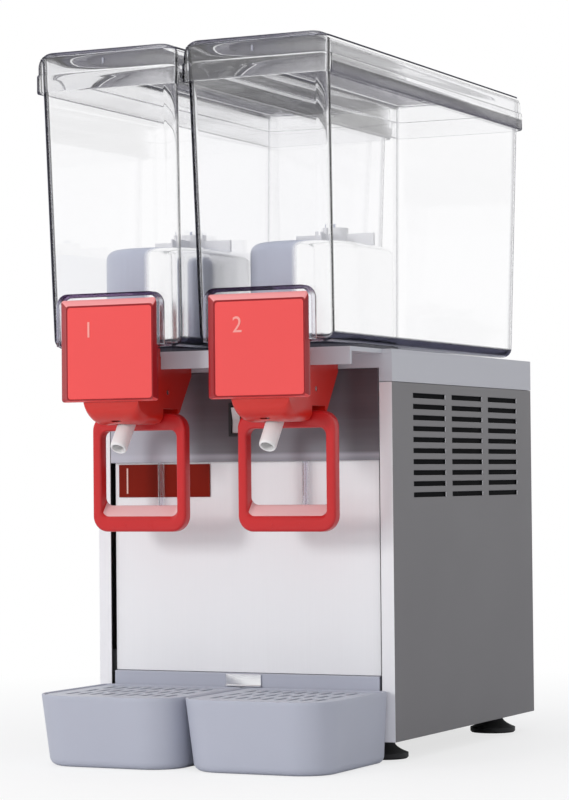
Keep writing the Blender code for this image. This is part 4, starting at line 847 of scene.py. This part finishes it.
# The tap body: the CAD outline kept inside a tube whose lower corners are round and whose underside rises to the nose
def makeTap(side):
    node = f"tap_body_{side}"
    low, high = boxOf(node)
    turn = np.linspace(0, np.pi / 2, 9)
    y = np.concatenate([low[1] - 0.0005 + tap["nose"] * (1 - np.cos(turn)), [high[1] + 0.004]])
    rise = np.concatenate([tap["noseRise"] * (1 - np.sin(turn)), [0]])
    spare = tap["spare"]
    corner = np.full(len(y), tap["corner"])
    across, along = roundedRows(low[0] - spare, high[0] + spare, low[2] - spare + rise, high[2] + spare, corner,
                                np.full(len(y), 0.0005), 8)
    tube = surface("tube", stacked(across, along, y, "y"))
    mesh = carved(mergedCopy(node), tube, "INTERSECT")
    show(f"tapShell_{side}", mesh, "tapRed", "cabinet", (node,), tap["softEdge"], 2)


# The lever: a square ring of rounded bar, with a web and hub above it and a finger to the piston
def makeLever(side):
    node = f"lever_{side}"
    low, high = boxOf(node)
    lowZ, ringTop = low[2], lever["ringTop"]
    front = frontPlane() + lever["front"]
    back = front + lever["depth"]
    edge = lever["edge"]
    turn = np.linspace(0, np.pi / 2, 5)
    # section of the bar, going round it: which outline, how far in from it, and how deep
    inset = edge * (1 - np.sin(turn))
    deep = edge * (1 - np.cos(turn))
    outerInset = np.concatenate([inset, inset[::-1]])
    outerY = np.concatenate([front + deep, (back - deep)[::-1]])
    across, along = roundedRows(low[0] + outerInset, high[0] - outerInset, lowZ + outerInset, ringTop - outerInset,
                                lever["outerRadius"] - outerInset, lever["outerRadius"] - outerInset, 10)
    innerY = outerY[::-1]
    innerInset = 0.7 * outerInset
    share = (innerY - front) / (back - front)
    shelf = lowZ + lever["bottomBar"] + share * lever["shelfRise"]
    innerAcross, innerAlong = roundedRows(low[0] + lever["sideBar"] - innerInset,
                                          high[0] - lever["sideBar"] + innerInset,
                                          shelf - innerInset, ringTop - lever["topBar"] + innerInset,
                                          lever["innerRadius"] + innerInset, lever["innerRadius"] + innerInset, 10)
    across = np.concatenate([across, innerAcross])
    along = np.concatenate([along, innerAlong])
    ring = surface(node, stacked(across, along, np.concatenate([outerY, innerY]), "y"), loopRows=True)
    ring.materials.append(finishes["leverRed"])
    ring.materials.append(finishes["leverShelfPaintedHighlight"])
    # the shelf's faces that look up get a paler pink: a painted highlight from the light above
    normals, centres = faceFacts(ring)
    paintedHighlightShelf = (normals[:, 2] > 0.35) & (centres[:, 2] < lowZ + lever["bottomBar"] + lever["shelfRise"] + 0.001)
    paintedHighlightShelf &= centres[:, 1] > front + edge * 1.5
    ring.polygons.foreach_set("material_index", paintedHighlightShelf.astype(np.int32))

    middle = (low[0] + high[0]) / 2
    pivotY, pivotZ = frontPlane() + lever["pivot"][0], lever["pivot"][1]
    radius, half = lever["hub"]
    hub = turned("hub", (0, pivotY, pivotZ),
                 [(0.0, middle - half), (radius, middle - half), (radius, middle + half), (0.0, middle + half)],
                 24, "x")
    web = block("web", (middle - lever["webHalf"], pivotY - 0.0044, ringTop - 0.005),
                (middle + lever["webHalf"], pivotY + 0.0044, pivotZ), 0.001, 0.0008)
    finger = block("finger", (middle - 0.003, low[1], pivotZ - 0.0025), (middle + 0.003, pivotY, pivotZ + 0.0025),
                   0.0008, 0.0008, "x")
    meshes = [ring, web, hub, finger]
    wide, thick, tall = lever["tickSize"]
    for sign in (-1, 1):
        x = middle + sign * lever["tickOut"]
        foot = lowZ + lever["tickUp"]
        meshes.append(block("tick", (x - wide / 2, front - thick * 0.4, foot),
                            (x + wide / 2, front + thick, foot + tall), 0.0003, 0.0002, "y", 2))
    whole = joined(node, meshes)
    whole.materials.append(finishes["leverRed"])
    whole.materials.append(finishes["leverShelfPaintedHighlight"])
    show(f"leverRing_{side}", whole, "leverRed", node, (node,))


def makeNozzle(side):
    node = f"nozzle_{side}"
    low, high = boxOf(node)
    middle = (low[0] + high[0]) / 2
    top, tip = (Vector((middle, frontPlane() + nozzle[end][0], nozzle[end][1])) for end in ("top", "tip"))
    length = (tip - top).length
    bore, radius = nozzle["bore"], nozzle["radius"]
    profile = [(bore, 0), (radius, 0), (radius, length - 0.0022), (radius - 0.0003, length - 0.0006),
               (radius - 0.0008, length), (bore + 0.0004, length), (bore, length - 0.0005)]
    mesh = turned(node, (0, 0, 0), profile, 40, loop=True)
    mesh.transform(Matrix.Translation(top) @ (tip - top).to_track_quat("Z", "Y").to_matrix().to_4x4())
    show(f"nozzleTube_{side}", mesh, "white", "cabinet", (node,))


for side, numeral in zip(sides, "12"):
    makeCover(side, numeral)
    makeTap(side)
    makeLever(side)
    makeNozzle(side)
print("taps are moulded")


tray = {
    "wall": 0.0022, "frontRadius": 0.030, "backRadius": 0.005, "frontSlope": 0.009, "sideSlope": 0.003,
    "floor": 0.003, "fillet": 0.006, "ledge": 0.0018, "ledgeDeep": 0.0035, "rim": 0.0008,
}
grid = {
    "edge": 0.0005, "frontRadius": 0.0274, "backRadius": 0.0025,
    "slotHalf": (0.0120, 0.0024), "columns": 9, "rows": 3, "columnPitch": 0.0112, "rowPitch": 0.030, "backIn": 0.0234,
}


# The tub: from its floor up the inside, over the ledge for the grid and the rim, and down the sloping outside
def makeTray(side):
    node = f"drip_tray_{side}"
    low, high = boxOf(node)
    tall, rim, wall = high[2], tray["rim"], tray["wall"]
    inset, drop = edgeArc(tray["fillet"], 7)
    ledgeIn, ledgeZ = wall + tray["ledge"], tall - tray["ledgeDeep"]
    rows = [(ledgeIn + 0.004, tray["floor"]), (ledgeIn, tray["floor"] + 0.004), (ledgeIn, ledgeZ), (wall, ledgeZ),
            (wall, tall - rim), (wall - rim * 0.3, tall - rim * 0.3), (wall - rim, tall), (rim, tall),
            (rim * 0.3, tall - rim * 0.3), (0, tall - rim)]
    inner, height = np.array(rows).T
    fall = np.linspace(tall - 0.004, tray["fillet"] + 0.001, 6)
    inner = np.concatenate([inner, np.zeros(len(fall)), inset[::-1]])
    height = np.concatenate([height, fall, drop[::-1]])
    share = 1 - height / tall
    front = low[1] + share * tray["frontSlope"]
    slope = share * tray["sideSlope"]
    across, along = roundedRows(low[0] + slope + inner, high[0] - slope - inner, front + inner, high[1] - inner,
                                np.maximum(tray["frontRadius"] - inner, 0.002),
                                np.maximum(tray["backRadius"] - inner, 0.0008), 14)
    tub = surface(node, stacked(across, along, height))
    show(f"trayTub_{side}", tub, "tray", f"tray_{side}", (node,))


def makeGrid(side):
    node = f"drip_grid_{side}"
    low, high = boxOf(node)
    edge = grid["edge"]
    inner = np.array([edge, 0, 0, edge])
    height = np.array([low[2], low[2] + edge, high[2] - edge, high[2]])
    across, along = roundedRows(low[0] + inner, high[0] - inner, low[1] + inner, high[1] - inner,
                                grid["frontRadius"] - inner, grid["backRadius"] - inner, 14)
    plate = surface(node, stacked(across, along, height))
    column = (np.arange(grid["columns"]) - (grid["columns"] - 1) / 2) * grid["columnPitch"]
    row = high[1] - grid["backIn"] - np.arange(grid["rows"]) * grid["rowPitch"]
    centres = np.stack(np.meshgrid(column + (low[0] + high[0]) / 2, row), -1).reshape(-1, 2)
    cutter = slots("gridSlots", centres, *grid["slotHalf"], low[2] - 0.002, high[2] + 0.002, "z", True)
    plate = carved(plate, cutter)
    show(f"gridPlate_{side}", plate, "grid", f"grid_{side}", (node,), 0.0004, 2)


for side in sides:
    makeTray(side)
    makeGrid(side)
print("trays are moulded")


# The cabinet's outer pieces keep their CAD shape and get fine bevels: finish, body, slot and bevel of each
cabinet = {
    "front_panel": ("front", "cabinet", "front_steel", 0.0005),
    "fascia": ("fascia", "cabinet", "fascia_steel", 0.0005),
    "top_deck": ("deck", "cabinet", "deck_plastic", 0.0016),
    "tray_rail": ("tray", "cabinet", "tray_plastic", 0.0008),
    "tray_clip": ("clip", "cabinet", "front_steel", 0.0003),
    "label_plate": ("plate", "cabinet", "plate", 0.0003),
    "switch_housing": ("black", "cabinet", "black_plastic", 0.0005),
    "rocker_switch": ("white", "rocker", "white_plastic", 0.0005),
    "rear_panel": ("side", "cabinet", "side_paint", 0.0004),
    "control_box": ("black", "cabinet", "black_plastic", 0.001),
}
for side in sides:
    # each side panel: steel painted dark as painted shade, with its front returns in pale post steel
    softCopy(f"side_panel_{side}", "side", "cabinet", "side_paint", 0.0005, "post")
for node, made in cabinet.items():
    softCopy(node, *made)

label = {"stripeWide": 0.0014, "stripeIn": 0.0075, "stripeEnds": 0.003}
low, high = boxOf("label_plate")
left, ends = low[0] + label["stripeIn"], label["stripeEnds"]
stripe = block("stripe", (left, low[1] - 0.0002, low[2] + ends),
               (left + label["stripeWide"], low[1] + 0.0003, high[2] - ends), 0.0003, 0.0001, "y", 2)
show("plateStripe", stripe, "stripe", "cabinet")

screen = {
    "thick": 0.0012, "gap": 0.0006, "sheet": 0.0012, "sideZ": (0.200, 0.300), "sideY": (0.036, 0.284),
    "rearZ": (0.10, 0.285), "rearX": (0.002, 0.122),
}


# A near-black sheet behind the louvres, so that no light comes through the cabinet: painted shade that darkens the
# slots
def makeScreens():
    plane = frontPlane()
    (lowY, highY), (lowZ, highZ) = screen["sideY"], screen["sideZ"]
    for side, sign in zip(sides, (-1, 1)):
        low, high = boxOf(f"side_panel_{side}")
        face = (high[0] if sign > 0 else low[0]) - sign * (screen["sheet"] + screen["gap"])
        near, far = sorted((face, face - sign * screen["thick"]))
        pad = block("pad", (near, plane + lowY, lowZ), (far, plane + highY, highZ), 0.002, 0.0002, "x", 3)
        show(f"ventShadeSheet_{side}", pad, "ventShade", "cabinet")
    low, high = boxOf("rear_panel")
    (lowX, highX), (lowZ, highZ) = screen["rearX"], screen["rearZ"]
    pad = block("pad", (lowX, low[1] - 0.003, lowZ), (highX, low[1] - 0.0008, highZ), 0.002, 0.0002, "y", 3)
    show("ventShadeSheet_rear", pad, "ventShade", "cabinet")


makeScreens()
foot = {"pad": 0.0046, "edge": 0.0012, "neck": 0.0085}


def makeFoot(name):
    low, high = boxOf(name)
    centre = ((low[0] + high[0]) / 2, (low[1] + high[1]) / 2, 0)
    radius, top = (high[0] - low[0]) / 2, high[2]
    rise = np.linspace(0, 1, 8)
    waist = foot["neck"] + (radius - foot["neck"]) * (1 - rise) ** 2.2
    profile = [(1e-6, top), (foot["neck"] + 0.0012, top), (foot["neck"] + 0.0012, top - 0.002)]
    profile += list(zip(waist[::-1], (foot["pad"] + rise * (top - 0.002 - foot["pad"]))[::-1]))
    profile += [(radius, foot["edge"]), (radius - foot["edge"], 0), (1e-6, 0)]
    show(name + "Pad", turned(name, centre, profile), "rubber", "cabinet", (name,))


for name in ("foot_front_left", "foot_front_right", "foot_back_left", "foot_back_right"):
    makeFoot(name)

plainFinish = {
    "base_pan": "inner", "compressor": "enamel", "condenser": "aluminium", "fan_motor": "enamel", "fan_blade": "black",
    "pipe_liquid": "copper", "pipe_suction": "copper", "pipe_discharge": "copper", "cable_gland": "black",
    "thermostat_knob": "black",
}
perSide = {
    "bowl_gasket": "seal", "gear_motor": "aluminium", "drive_magnet": "magnet", "impeller": "white",
    "piston": "white", "lever_pin": "clip", "lever_spring": "clip", "drain_tube": "archClearPaintedShade",
}
for node, finish in plainFinish.items():
    dress(node, finish)
for side in sides:
    for node, finish in perSide.items():
        dress(f"{node}_{side}", finish)
print("cabinet is dressed")
